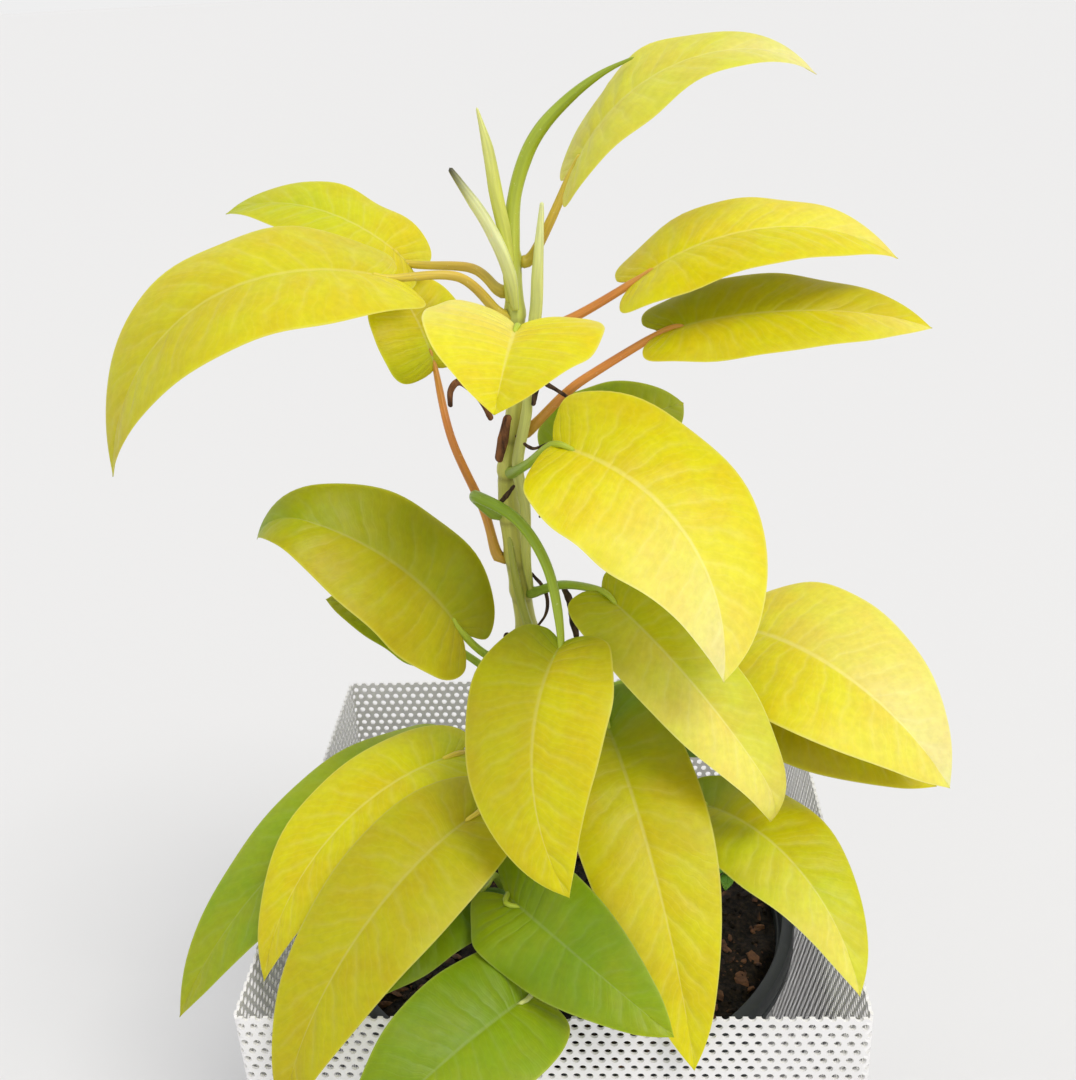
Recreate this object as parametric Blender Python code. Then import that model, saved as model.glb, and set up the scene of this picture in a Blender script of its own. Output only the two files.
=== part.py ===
"""Potted philodendron: a leafy aroid in a round nursery pot, standing in a square sheet-metal planter.

The origin is the middle of the planter's underside, +Z is up and -Y is the front.  All numbers below
are millimetres or degrees; the meshes are made in metres.

Every leaf is one solid: a thin blade together with its stalk.  The blade is a sheet of rows that fan
out from the end of the stalk to the margin, bent along an arched midrib and folded a little about it.
"""
import math
from dataclasses import dataclass

import bpy
import bmesh
import numpy as np
from mathutils import Vector

MM = 0.001

# ---- planter: folded sheet metal, open at the top
PLANTER_SIDE = 246.0
PLANTER_HEIGHT = 246.0
PLANTER_SHEET = 1.2
PLANTER_FLOOR = 1.2
PLANTER_CORNER = 3.0
CORNER_STEPS = 3

# ---- nursery pot: thin moulded plastic with a rolled lip
GAP = 0.3
POT_TOP = 197.0
POT_LIP_RADIUS = 111.0
POT_LIP_DEPTH = 14.0
POT_TOP_RADIUS = 107.0
POT_FOOT_RADIUS = 82.0
POT_WALL = 2.2
POT_FLOOR = 3.0
POT_SIDES = 40

# ---- potting mix
SOIL_TOP = 184.0
SOIL_MOUND = 4.0

# ---- blades and stalks
BLADE_ROWS = 8
BLADE_COLUMNS = 3
BLADE_THICKNESS = 1.0
STALK_SIDES = 5
STALK_STEPS = 8


@dataclass(frozen=True)
class Shoot:
    """A stem that rises out of the potting mix."""

    name: str
    path: tuple
    radius_foot: float
    radius_top: float
    buried: float


@dataclass(frozen=True)
class Leaf:
    """One leaf: where its blade starts and ends, which way it faces and how its stalk reaches it."""

    name: str
    base: tuple
    tip: tuple
    face: tuple
    width: float
    bow: float
    shoot: str
    height: float
    heading: float
    via: tuple = ()
    fold: float = 10.0
    lobe: float = 0.08
    belly: float = 0.0
    droop: float = 0.10
    sweep: float = 0.0
    twist: float = 0.0
    wave: float = 1.5
    hook: float = 0.0
    stalk: float = 1.9


@dataclass(frozen=True)
class Horn:
    """A solid tapering shape that follows a path: a rolled new leaf, a sheath, a root."""

    name: str
    path: tuple
    radii: tuple
    colour: tuple


SHOOTS = (
    Shoot("stem_main", ((0, 0, 186), (-4, 0, 260), (-9, -2, 341), (-14, -3, 413), (-8, -1, 458), (-6, 0, 528)),
          6.5, 3.8, 46.0),
    Shoot("stem_right", ((24, -20, 185), (22, -22, 250), (20, -22, 318)), 4.6, 3.2, 36.0),
    Shoot("stem_left", ((-24, -14, 185), (-25, -16, 240), (-25, -15, 288)), 4.6, 3.2, 36.0),
)

LEAVES = (
    Leaf("leaf_01", (17, -2, 540), (106, -8, 574), (-112, 68), 48, 22, "stem_main", 508, 0,
         ((8, -2, 522),), hook=4),
    Leaf("leaf_02", (40, -5, 500), (139, 2, 503), (-92, 70), 50, 18, "stem_main", 478, 5,
         ((18, -2, 487),), belly=0.12),
    Leaf("leaf_03", (50, -12, 482), (151, -10, 479), (-92, 60), 42, 10, "stem_main", 440, -20,
         ((12, -10, 458), (24, -12, 467)), belly=0.08),
    Leaf("leaf_04", (-50, -20, 508), (-153, -60, 448), (-110, 62), 68, 35, "stem_main", 488, 215,
         ((-26, -14, 506),), sweep=4, belly=0.06, lobe=0.04),
    Leaf("leaf_05", (-50, 22, 504), (-126, 36, 524), (-95, 70), 44, 14, "stem_main", 496, 160,
         ((-24, 10, 504),)),
    Leaf("leaf_06", (-3, -42, 494), (-8, -94, 479), (-78, 60), 68, 5, "stem_main", 466, 265,
         ((-6, -22, 482),), fold=22, lobe=0.14),
    Leaf("leaf_07", (-43, 20, 461), (-68, 40, 500), (-60, 50), 44, 8, "stem_main", 384, 175,
         ((-25, 2, 404), (-36, 2, 436)), lobe=0.04),
    Leaf("leaf_08", (8, 20, 416), (61, 44, 434), (-80, 40), 50, 10, "stem_main", 404, 60,
         ((2, 12, 412),)),
    Leaf("leaf_09", (8, -45, 450), (67, -96, 378), (-62, 38), 74, 10, "stem_main", 424, -70,
         ((-3, -28, 436),), sweep=-17, lobe=0.03),
    Leaf("leaf_10", (-34, -30, 363), (-117, -34, 422), (-112, 58), 60, 14, "stem_main", 332, 215,
         ((-26, -22, 348),), hook=22, sweep=7, lobe=0.12),
    Leaf("leaf_11", (-46, 6, 338), (-98, 4, 362), (-100, 60), 36, 6, "stem_main", 312, 175,
         ((-28, 4, 324),)),
    Leaf("leaf_12", (8, -54, 371), (10, -114, 297), (-108, 26), 60, 12, "stem_main", 406, 215,
         ((-26, -16, 418), (-8, -32, 414), (4, -45, 398)), fold=12, sweep=9, lobe=0.05),
    Leaf("leaf_13", (23, -35, 326), (55, -133, 230), (-84, 35), 56, 15, "stem_right", 306, -75,
         ((22, -32, 320),), sweep=-3),
    Leaf("leaf_14", (-16, -91, 278), (47, -143, 258), (-95, 45), 48, 6, "stem_right", 238, -110,
         ((6, -50, 274),), lobe=0.16, belly=-0.10, wave=2.5),
    Leaf("leaf_16", (24, -36, 384), (97, -80, 300), (-60, 35), 44, 12, "stem_main", 368, -35,
         ((8, -18, 378),), hook=14, lobe=0.04),
    Leaf("leaf_17", (-6, -116, 252), (-74, -168, 222), (-104, 50), 56, 12, "stem_right", 214, -120,
         ((4, -70, 238),), fold=16, lobe=0.03, wave=2.0),
    Leaf("leaf_18", (-39, -34, 306), (-115, -104, 246), (-120, 42), 48, 21, "stem_left", 282, 200,
         ((-34, -24, 298),), sweep=8),
    Leaf("leaf_19", (-27, -68, 302), (-101, -146, 218), (-112, 42), 54, 21, "stem_left", 268, 255,
         ((-26, -48, 292),), sweep=6),
    Leaf("leaf_20", (-55, -6, 288), (-160, -90, 212), (-130, 50), 58, 22, "stem_left", 254, 165,
         ((-38, -8, 278),)),
    Leaf("leaf_21", (-28, -70, 264), (-86, -116, 240), (-112, 50), 36, 9, "stem_left", 220, 265,
         ((-27, -46, 250),)),
    Leaf("leaf_24", (60, -40, 284), (119, -114, 248), (-70, 50), 48, 16, "stem_right", 256, -20,
         ((38, -32, 272),), sweep=-9),
    Leaf("leaf_25", (82, -2, 347), (159, -66, 309), (-70, 55), 80, 20, "stem_main", 322, 0,
         ((30, 0, 338),)),
    Leaf("leaf_26", (74, -2, 326), (160, -46, 295), (-90, 42), 50, 8, "stem_main", 304, 5,
         ((34, 2, 318),)),
    Leaf("leaf_27", (44, 16, 314), (74, 30, 262), (-80, 40), 44, 8, "stem_main", 286, 25,
         ((22, 10, 302),)),
)

GREEN = (0.20, 0.32, 0.03)
PALE = (0.62, 0.66, 0.22)
BROWN = (0.05, 0.03, 0.02)
TAN = (0.40, 0.18, 0.05)

HORNS = (
    Horn("new_leaf_rolled", ((-5, 0, 531), (0, 0, 546), (7, 0, 557), (18, 0, 567), (29, 0, 574), (41, 0, 579)),
         (2.2, 2.8, 3.0, 2.4, 1.6, 0.6), GREEN),
    Horn("new_leaf_spear", ((-11, -6, 534), (-13, -5, 550), (-16, -5, 565)), (2.4, 2.2, 0.6), PALE),
    Horn("sheath_left", ((-6, -10, 506), (-14, -10, 525), (-27, -9, 545)), (2.0, 2.8, 0.8), PALE),
    Horn("sheath_right", ((3, -7, 488), (4, -7, 508), (6, -6, 531)), (2.2, 2.4, 0.7), PALE),
    Horn("sheath_middle", ((-16, -10, 430), (-13, -11, 440), (-11, -10, 450)), (1.6, 2.4, 1.4), TAN),
    Horn("dried_sheath", ((-34, -8, 453), (-33, -8, 460), (-29, -8, 463), (-22, -8, 456), (-18, -8, 447)),
         (0.9, 1.4, 1.6, 1.5, 1.0), TAN),
    Horn("aerial_root_1", ((-1, -12, 454), (2, -14, 464), (7, -14, 462), (14, -14, 457)),
         (0.9, 1.2, 0.9, 0.6), BROWN),
    Horn("aerial_root_2", ((-3, -11, 424), (2, -12, 416), (3, -12, 410), (-1, -12, 406)),
         (0.9, 1.0, 0.9, 0.5), BROWN),
    Horn("aerial_root_3", ((-17, -11, 412), (-14, -13, 416), (-10, -13, 421)), (0.8, 1.1, 0.6), BROWN),
    Horn("aerial_root_4", ((-18, -11, 352), (-15, -14, 346), (-12, -14, 341)), (1.4, 2.2, 1.2), BROWN),
    Horn("seedling_right", ((80, 18, 186), (80, 18, 196), (82, 17, 204)), (0.7, 0.8, 0.5), GREEN),
    Horn("seedling_left", ((-48, 60, 188), (-48, 60, 198), (-50, 60, 206)), (0.7, 0.8, 0.5), GREEN),
)


# ------------------------------------------------------------------ small geometry helpers
def unit(vector):
    """Return a vector at length one."""
    vector = np.asarray(vector, dtype=float)
    return vector / np.linalg.norm(vector)


def direction(azimuth, elevation):
    """Return the unit vector at an azimuth from +X and an elevation above the XY plane."""
    azimuth = math.radians(azimuth)
    elevation = math.radians(elevation)
    return np.array((math.cos(azimuth) * math.cos(elevation),
                     math.sin(azimuth) * math.cos(elevation),
                     math.sin(elevation)))


def smooth_path(points, count):
    """Return count points on a Catmull-Rom curve through the given points, evenly spread."""
    points = np.asarray(points, dtype=float)
    padded = np.vstack((2 * points[0] - points[1], points, 2 * points[-1] - points[-2]))
    fine = []
    for index in range(len(points) - 1):
        p0, p1, p2, p3 = padded[index:index + 4]
        for step in np.linspace(0, 1, 24, endpoint=False):
            fine.append(0.5 * (2 * p1 + (p2 - p0) * step + (2 * p0 - 5 * p1 + 4 * p2 - p3) * step ** 2
                               + (3 * p1 - p0 - 3 * p2 + p3) * step ** 3))
    fine.append(points[-1])
    fine = np.array(fine)
    along = np.concatenate(([0], np.cumsum(np.linalg.norm(np.diff(fine, axis=0), axis=1))))
    even = np.linspace(0, along[-1], count)
    return np.stack([np.interp(even, along, fine[:, axis]) for axis in range(3)], axis=1)


def tube_rings(centres, radii, sides, first=None):
    """Return rings of points round a path, carried along it without twisting."""
    tangents = np.gradient(centres, axis=0)
    if first is not None:
        tangents[0] = first
    rings = []
    side = None
    for centre, tangent, radius in zip(centres, tangents, radii):
        tangent = unit(tangent)
        if side is None:
            guide = np.array((0.0, 0.0, 1.0)) if abs(tangent[2]) < 0.8 else np.array((1.0, 0.0, 0.0))
            side = unit(np.cross(tangent, guide))
        side = unit(side - tangent * np.dot(side, tangent))
        other = np.cross(tangent, side)
        angles = np.arange(sides) * 2 * math.pi / sides
        rings.append([centre + radius * (math.cos(a) * side + math.sin(a) * other) for a in angles])
    return rings


def mesh_object(name, vertices, faces, colour, roughness=0.5, metallic=0.0):
    """Make one closed object from millimetre points, facing outwards, with its own material."""
    mesh = bpy.data.meshes.new(name)
    mesh.from_pydata([Vector(point) * MM for point in vertices], [], faces)
    shell = bmesh.new()
    shell.from_mesh(mesh)
    bmesh.ops.recalc_face_normals(shell, faces=shell.faces)
    bmesh.ops.triangulate(shell, faces=[face for face in shell.faces if len(face.verts) > 3])
    shell.to_mesh(mesh)
    shell.free()
    material = bpy.data.materials.new(name)
    material.use_nodes = True
    shader = material.node_tree.nodes["Principled BSDF"]
    shader.inputs["Base Color"].default_value = (*colour, 1.0)
    shader.inputs["Roughness"].default_value = roughness
    shader.inputs["Metallic"].default_value = metallic
    mesh.materials.append(material)
    body = bpy.data.objects.new(name, mesh)
    bpy.context.scene.collection.objects.link(body)
    return body


def stacked_rings(rings):
    """Return points and faces of a closed body made of rings joined in order, capped at both ends."""
    sides = len(rings[0])
    vertices = [point for ring in rings for point in ring]
    faces = []
    for row in range(len(rings) - 1):
        for side in range(sides):
            following = (side + 1) % sides
            a = row * sides + side
            b = row * sides + following
            faces.append((a, b, b + sides, a + sides))
    faces.append(tuple(range(sides - 1, -1, -1)))
    faces.append(tuple(range((len(rings) - 1) * sides, len(rings) * sides)))
    return vertices, faces


def circle(radius, height, sides, centre=(0.0, 0.0)):
    """Return one level ring of points."""
    return [(centre[0] + radius * math.cos(2 * math.pi * k / sides),
             centre[1] + radius * math.sin(2 * math.pi * k / sides), height) for k in range(sides)]


def rounded_square(side, corner, height):
    """Return one level ring of a square with rounded corners."""
    ring = []
    reach = side / 2 - corner
    for turn in range(4):
        centre_angle = math.pi / 4 + turn * math.pi / 2
        centre = (math.copysign(reach, math.cos(centre_angle)), math.copysign(reach, math.sin(centre_angle)))
        for step in range(CORNER_STEPS + 1):
            angle = turn * math.pi / 2 + step * math.pi / 2 / CORNER_STEPS
            ring.append((centre[0] + corner * math.cos(angle), centre[1] + corner * math.sin(angle), height))
    return ring


# ------------------------------------------------------------------ holder, pot and potting mix
def make_planter():
    """The square box: four walls and a floor folded from one sheet."""
    inner = PLANTER_SIDE - 2 * PLANTER_SHEET
    corner = PLANTER_CORNER - PLANTER_SHEET
    rings = [rounded_square(PLANTER_SIDE, PLANTER_CORNER, 0.0),
             rounded_square(PLANTER_SIDE, PLANTER_CORNER, PLANTER_HEIGHT),
             rounded_square(inner, corner, PLANTER_HEIGHT),
             rounded_square(inner, corner, PLANTER_FLOOR)]
    vertices, faces = stacked_rings(rings)
    mesh_object("planter", vertices, faces, (0.86, 0.85, 0.86), 0.45)


def pot_inner_radius(height):
    """Return the pot's inner radius at a height above the table."""
    foot = PLANTER_FLOOR + GAP
    share = (height - foot) / (POT_TOP - foot)
    return POT_FOOT_RADIUS + (POT_TOP_RADIUS - POT_FOOT_RADIUS) * share - POT_WALL


def make_pot():
    """The round pot: tapered wall, floor and a lip that stands out at the top."""
    foot = PLANTER_FLOOR + GAP
    lip_foot = POT_TOP - POT_LIP_DEPTH
    wall_at_lip = pot_inner_radius(lip_foot) + POT_WALL
    profile = ((POT_FOOT_RADIUS, foot), (wall_at_lip, lip_foot), (POT_LIP_RADIUS, lip_foot + 1.0),
               (POT_LIP_RADIUS, POT_TOP - 1.2), (POT_LIP_RADIUS - 1.2, POT_TOP),
               (pot_inner_radius(POT_TOP) + 0.8, POT_TOP), (pot_inner_radius(POT_TOP - 0.8), POT_TOP - 0.8),
               (pot_inner_radius(foot + POT_FLOOR), foot + POT_FLOOR))
    vertices, faces = stacked_rings([circle(radius, height, POT_SIDES) for radius, height in profile])
    mesh_object("nursery_pot", vertices, faces, (0.03, 0.035, 0.04), 0.5)


def soil_height(x, y):
    """Return the height of the potting mix at a place: a low mound with lumps."""
    radius = math.hypot(x, y) / 100.0
    lumps = math.sin(x * 0.11 + 1.0) * math.cos(y * 0.13) + 0.6 * math.sin(x * 0.23 - y * 0.19)
    return SOIL_TOP + SOIL_MOUND * (1 - radius ** 2) + 1.0 * lumps


def make_soil():
    """The potting mix: it fills the pot and has a blind hole for the foot of every stem."""
    bottom = PLANTER_FLOOR + GAP + POT_FLOOR + GAP
    top_radius = pot_inner_radius(SOIL_TOP) - GAP
    rings = [circle(pot_inner_radius(bottom) - GAP, bottom, POT_SIDES)]
    for share in (1.0, 0.84, 0.66, 0.48, 0.30, 0.14):
        ring = []
        for x, y, _ in circle(top_radius * share, 0.0, POT_SIDES):
            height = SOIL_TOP - 1.5 if share == 1.0 else soil_height(x, y)
            ring.append((x, y, height))
        rings.append(ring)
    vertices, faces = stacked_rings(rings)
    soil = mesh_object("potting_mix", vertices, faces, (0.018, 0.013, 0.01), 0.95)
    for shoot in SHOOTS:
        x, y, z = shoot.path[0]
        radius = shoot.radius_foot + GAP
        rings = [circle(radius, z - shoot.buried - GAP, 16, (x, y)), circle(radius, z + 30, 16, (x, y))]
        vertices, faces = stacked_rings(rings)
        cutter = mesh_object("cutter", vertices, faces, BROWN)
        apply_boolean(soil, cutter, "DIFFERENCE")


def apply_boolean(body, other, operation):
    """Apply an exact Boolean to a body and throw the second object away."""
    modifier = body.modifiers.new("boolean", "BOOLEAN")
    modifier.operation = operation
    modifier.solver = "EXACT"
    modifier.object = other
    depsgraph = bpy.context.evaluated_depsgraph_get()
    mesh = bpy.data.meshes.new_from_object(body.evaluated_get(depsgraph))
    body.modifiers.clear()
    old = body.data
    body.data = mesh
    bpy.data.meshes.remove(old)
    bpy.data.objects.remove(other)
    while len(mesh.materials) > 1:
        mesh.materials.pop(index=len(mesh.materials) - 1)


# ------------------------------------------------------------------ stems
def shoot_curve(shoot):
    """Return the centre points and radii of a stem, foot first."""
    centres = smooth_path(shoot.path, 26)
    share = np.linspace(0, 1, len(centres))
    radii = shoot.radius_foot + (shoot.radius_top - shoot.radius_foot) * share
    return centres, radii


def shoot_at(shoot, height):
    """Return the centre and radius of a stem at a height."""
    centres, radii = shoot_curve(shoot)
    centre = np.array([np.interp(height, centres[:, 2], centres[:, axis]) for axis in range(3)])
    return centre, float(np.interp(height, centres[:, 2], radii))


def make_shoot(shoot):
    """One stem, with its foot straight down in the potting mix."""
    centres, radii = shoot_curve(shoot)
    foot = centres[0] - np.array((0.0, 0.0, shoot.buried))
    centres = np.vstack((foot, centres))
    radii = np.concatenate(([radii[0]], radii))
    rings = tube_rings(centres, radii, 12, first=(0, 0, 1))
    vertices, faces = stacked_rings(rings)
    mesh_object(shoot.name, vertices, faces, PALE, 0.5)


# ------------------------------------------------------------------ leaves
def margin_point(share, lobe, belly):
    """Return one point of the outline of half a blade: from the stalk round the lobe to the tip.

    The first number runs along the midrib and the second sideways, both as shares of the size.  The
    belly moves the widest place towards the tip.
    """
    stations = (0.0, 0.12, 0.26, 0.42, 0.62, 0.84, 1.0)
    along = (0.0, -lobe, -lobe * 0.35, 0.20 + belly, 0.52 + 0.7 * belly, 0.84 + 0.2 * belly, 1.0)
    aside = (0.0, 0.32, 0.76, 0.99, 0.88, 0.40, 0.0)
    index = min(int(np.searchsorted(stations, share, side="right")) - 1, len(stations) - 2)
    local = (share - stations[index]) / (stations[index + 1] - stations[index])
    result = []
    for values in (along, aside):
        padded = (values[0], *values, values[-1])
        p0, p1, p2, p3 = padded[index:index + 4]
        value = 0.5 * (2 * p1 + (p2 - p0) * local + (2 * p0 - 5 * p1 + 4 * p2 - p3) * local ** 2
                       + (3 * p1 - p0 - 3 * p2 + p3) * local ** 3)
        result.append(value)
    return result[0], max(result[1], 0.0)


class BladeShape:
    """The bent surface of one leaf: it turns a place on the flat blade into a place in space."""

    def __init__(self, leaf):
        """Work out the midrib and the way the blade faces."""
        self.leaf = leaf
        base = np.array(leaf.base, dtype=float)
        tip = np.array(leaf.tip, dtype=float)
        self.length = float(np.linalg.norm(tip - base))
        along = unit(tip - base)
        hint = direction(*leaf.face)
        self.normal = unit(hint - along * np.dot(hint, along))
        self.side = np.cross(along, self.normal)
        lift = self.normal * leaf.bow * 4 / 3 + self.side * leaf.sweep * 4 / 3
        self.controls = (base, base + (tip - base) * 0.30 + lift, base + (tip - base) * 0.72 + lift, tip)

    def midrib(self, share):
        """Return the place and the direction of the midrib, straight on beyond its two ends."""
        p0, p1, p2, p3 = self.controls
        inside = min(max(share, 0.0), 1.0)
        rest = 1 - inside
        place = rest ** 3 * p0 + 3 * rest ** 2 * inside * p1 + 3 * rest * inside ** 2 * p2 + inside ** 3 * p3
        slope = 3 * rest ** 2 * (p1 - p0) + 6 * rest * inside * (p2 - p1) + 3 * inside ** 2 * (p3 - p2)
        slope = unit(slope)
        return place + slope * (share - inside) * self.length, slope

    def point(self, row, column):
        """Return the place in space of a row (0 stalk, 1 tip) and a column (-1 margin, 1 margin)."""
        leaf = self.leaf
        mar_along, mar_aside = margin_point(row, leaf.lobe, leaf.belly)
        out = abs(column)
        share = row ** 2 + (mar_along - row ** 2) * out
        aside = mar_aside * out * math.copysign(1.0, column) * leaf.width / 2
        place, slope = self.midrib(share)
        side = unit(self.side - slope * np.dot(self.side, slope))
        normal = np.cross(side, slope)
        turn = math.radians(leaf.twist) * share
        side, normal = (side * math.cos(turn) + normal * math.sin(turn),
                        normal * math.cos(turn) - side * math.sin(turn))
        fold = math.radians(leaf.fold)
        reach = aside / (leaf.width / 2)
        height = abs(aside) * math.sin(fold) - leaf.droop * leaf.width * reach ** 2
        height += leaf.wave * math.sin(share * 11 + 2.0 * column + leaf.height) * reach ** 2
        height -= leaf.hook * max(0.0, (share - 0.75) / 0.25) ** 2
        return place + side * aside * math.cos(fold) + normal * height


def make_leaf(leaf, shoots):
    """One leaf: the blade and its stalk joined into one solid."""
    shape = BladeShape(leaf)
    columns = np.linspace(-1, 1, 2 * BLADE_COLUMNS + 1)
    rows = np.linspace(0, 1, BLADE_ROWS + 1)
    grid = np.array([[shape.point(row, column) for column in columns] for row in rows])
    normals = np.zeros_like(grid)
    for i in range(1, len(rows) - 1):
        for j in range(len(columns)):
            across = grid[i, min(j + 1, len(columns) - 1)] - grid[i, max(j - 1, 0)]
            along = grid[i + 1, j] - grid[i - 1, j]
            normals[i, j] = unit(np.cross(across, along))
    normals[0] = normals[1, BLADE_COLUMNS]
    normals[-1] = normals[-2, BLADE_COLUMNS]
    vertices = []
    index = {}
    for layer, offset in ((0, 0.5), (1, -0.5)):
        for i in range(len(rows)):
            for j in range(len(columns)):
                if i in (0, len(rows) - 1) and j > 0:
                    index[layer, i, j] = index[layer, i, 0]
                    continue
                edge = 0.6 if j in (0, len(columns) - 1) or i == len(rows) - 1 else 1.0
                index[layer, i, j] = len(vertices)
                vertices.append(grid[i, j] + normals[i, j] * offset * BLADE_THICKNESS * edge)
    faces = []
    for i in range(len(rows) - 1):
        for j in range(len(columns) - 1):
            for layer in (0, 1):
                corners = [index[layer, i, j], index[layer, i, j + 1], index[layer, i + 1, j + 1],
                           index[layer, i + 1, j]]
                corners = list(dict.fromkeys(corners))
                faces.append(tuple(corners if layer else corners[::-1]))
        for j in (0, len(columns) - 1):
            corners = [index[0, i, j], index[0, i + 1, j], index[1, i + 1, j], index[1, i, j]]
            faces.append(tuple(dict.fromkeys(corners)))
    blade = mesh_object(leaf.name, vertices, faces, (0.58, 0.60, 0.03), 0.45)

    shoot = shoots[leaf.shoot]
    centre, radius = shoot_at(shoot, leaf.height)
    outward = direction(leaf.heading, 0)
    start = centre + outward * (radius + GAP + 0.15)
    place, slope = shape.midrib(0.0)
    points = [start, start + outward * 4 + np.array((0, 0, 1.2)), *leaf.via, place,
              place + slope * 7 - shape.normal * 1.0]
    centres = smooth_path(points, STALK_STEPS + 1)
    radii = np.interp(np.linspace(0, 1, len(centres)), (0, 0.8, 1), (leaf.stalk * 1.15, leaf.stalk * 0.8, 0.7))
    vertices, faces = stacked_rings(tube_rings(centres, radii, STALK_SIDES, first=outward))
    stalk = mesh_object("stalk", vertices, faces, GREEN)
    apply_boolean(blade, stalk, "UNION")


def make_horn(horn):
    """One tapering solid along a path."""
    count = 3 * len(horn.path)
    centres = smooth_path(horn.path, count)
    radii = np.interp(np.linspace(0, 1, count), np.linspace(0, 1, len(horn.radii)), horn.radii)
    vertices, faces = stacked_rings(tube_rings(centres, radii, 8))
    mesh_object(horn.name, vertices, faces, horn.colour, 0.5)


def main():
    """Clear the scene and make every piece."""
    for item in list(bpy.data.objects):
        bpy.data.objects.remove(item)
    make_planter()
    make_pot()
    make_soil()
    for shoot in SHOOTS:
        make_shoot(shoot)
    shoots = {shoot.name: shoot for shoot in SHOOTS}
    for leaf in LEAVES:
        make_leaf(leaf, shoots)
    for horn in HORNS:
        make_horn(horn)


main()
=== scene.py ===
"""The looks of a potted philodendron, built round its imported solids.

The solids give every piece its place.  This script replaces the plain leaves, stems, pot, potting mix
and planter with detailed ones, dresses each in a procedural material and sets up a small studio.
"""
import logging
import math
import random
from dataclasses import dataclass
from enum import Enum
from functools import cached_property, lru_cache
from typing import Callable, Iterable, Optional, Sequence

import bmesh
import bpy
import numpy as np
from mathutils import Matrix, Vector, noise


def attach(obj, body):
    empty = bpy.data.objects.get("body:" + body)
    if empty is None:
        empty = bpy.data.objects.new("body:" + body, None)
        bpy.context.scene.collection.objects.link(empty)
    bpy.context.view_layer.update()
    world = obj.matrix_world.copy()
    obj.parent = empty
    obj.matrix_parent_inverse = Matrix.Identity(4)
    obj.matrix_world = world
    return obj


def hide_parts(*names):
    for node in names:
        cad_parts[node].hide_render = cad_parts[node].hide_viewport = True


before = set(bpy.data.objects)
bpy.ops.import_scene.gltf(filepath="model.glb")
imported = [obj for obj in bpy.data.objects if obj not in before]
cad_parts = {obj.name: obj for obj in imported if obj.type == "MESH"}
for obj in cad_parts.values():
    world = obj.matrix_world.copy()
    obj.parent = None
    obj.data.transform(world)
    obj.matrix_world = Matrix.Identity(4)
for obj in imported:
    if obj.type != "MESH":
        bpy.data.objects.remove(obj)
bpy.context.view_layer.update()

LOG = logging.getLogger("philodendron")
MM = 0.001
BODY = "root"
RAMP_STEPS = 128

Colour = tuple[float, float, float, float]
Place = Callable[[float, float], Sequence[float]]


# ---------------------------------------------------------------------------------------------------
# Small helpers
# ---------------------------------------------------------------------------------------------------
def to_linear(code: str) -> Colour:
    """Turn an sRGB hex colour into the linear colour that a shader takes.

    Args:
        code: six hex digits with a leading hash.

    Returns:
        Linear red, green, blue and an alpha of one.
    """
    channels = [int(code[start:start + 2], 16) / 255 for start in (1, 3, 5)]
    linear = [c / 12.92 if c <= 0.04045 else ((c + 0.055) / 1.055) ** 2.4 for c in channels]
    return (*linear, 1.0)


@lru_cache(maxsize=None)
def ramp(codes: tuple[str, ...]) -> np.ndarray:
    """Return 129 linear colours spread evenly from the first of some hex colours to the last."""
    stops = np.array([to_linear(code)[:3] for code in codes])
    steps = np.linspace(0, len(stops) - 1, RAMP_STEPS + 1)
    return np.stack([np.interp(steps, np.arange(len(stops)), stops[:, k]) for k in range(3)], axis=1)


def along_ramp(codes: tuple[str, ...], share: float) -> np.ndarray:
    """Return the linear colour at a share from 0 to 1 of a row of hex colours."""
    return ramp(codes)[round(min(1.0, max(0.0, share)) * RAMP_STEPS)]


def unit(vector: Sequence[float]) -> np.ndarray:
    """Return a vector at length one."""
    array = np.asarray(vector, dtype=float)
    return array / max(float(np.linalg.norm(array)), 1e-9)


def direction(azimuth: float, elevation: float) -> np.ndarray:
    """Return a unit vector from its azimuth from +X and its elevation, both in degrees."""
    flat = math.cos(math.radians(elevation))
    turn = math.radians(azimuth)
    return np.array((math.cos(turn) * flat, math.sin(turn) * flat, math.sin(math.radians(elevation))))


def add_node(tree: bpy.types.NodeTree, name: str, kind: str, inputs: dict | tuple = (),
             settings: Optional[dict] = None) -> None:
    """Add a node, or take up the one that has the name, with its settings, values and links.

    Args:
        tree: the node tree that gets the node.
        name: the node's name, which later nodes link to.
        kind: the node's type, without its first words.
        inputs: by name, or in the order of the sockets, a value or, as text, the name of an earlier
            node, with a dot and the output's name where it isn't the first one in use.
        settings: properties of the node itself.
    """
    node = tree.nodes.get(name) or tree.nodes.new("ShaderNode" + kind)
    node.name = name
    for key, value in (settings or {}).items():
        setattr(node, key, value)
    for key, value in inputs.items() if isinstance(inputs, dict) else enumerate(inputs):
        if isinstance(value, str):
            source, _, output = value.partition(".")
            outputs = tree.nodes[source].outputs
            socket = outputs[output] if output else next(one for one in outputs if one.enabled)
            tree.links.new(socket, node.inputs[key])
        else:
            node.inputs[key].default_value = value


def catmull(values: np.ndarray, index: int, local: float) -> np.ndarray:
    """Return a point of a Catmull-Rom curve in the span that starts at index + 1 of padded values."""
    p0, p1, p2, p3 = values[index:index + 4]
    return 0.5 * (2 * p1 + (p2 - p0) * local + (2 * p0 - 5 * p1 + 4 * p2 - p3) * local ** 2
                  + (3 * p1 - p0 - 3 * p2 + p3) * local ** 3)


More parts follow.
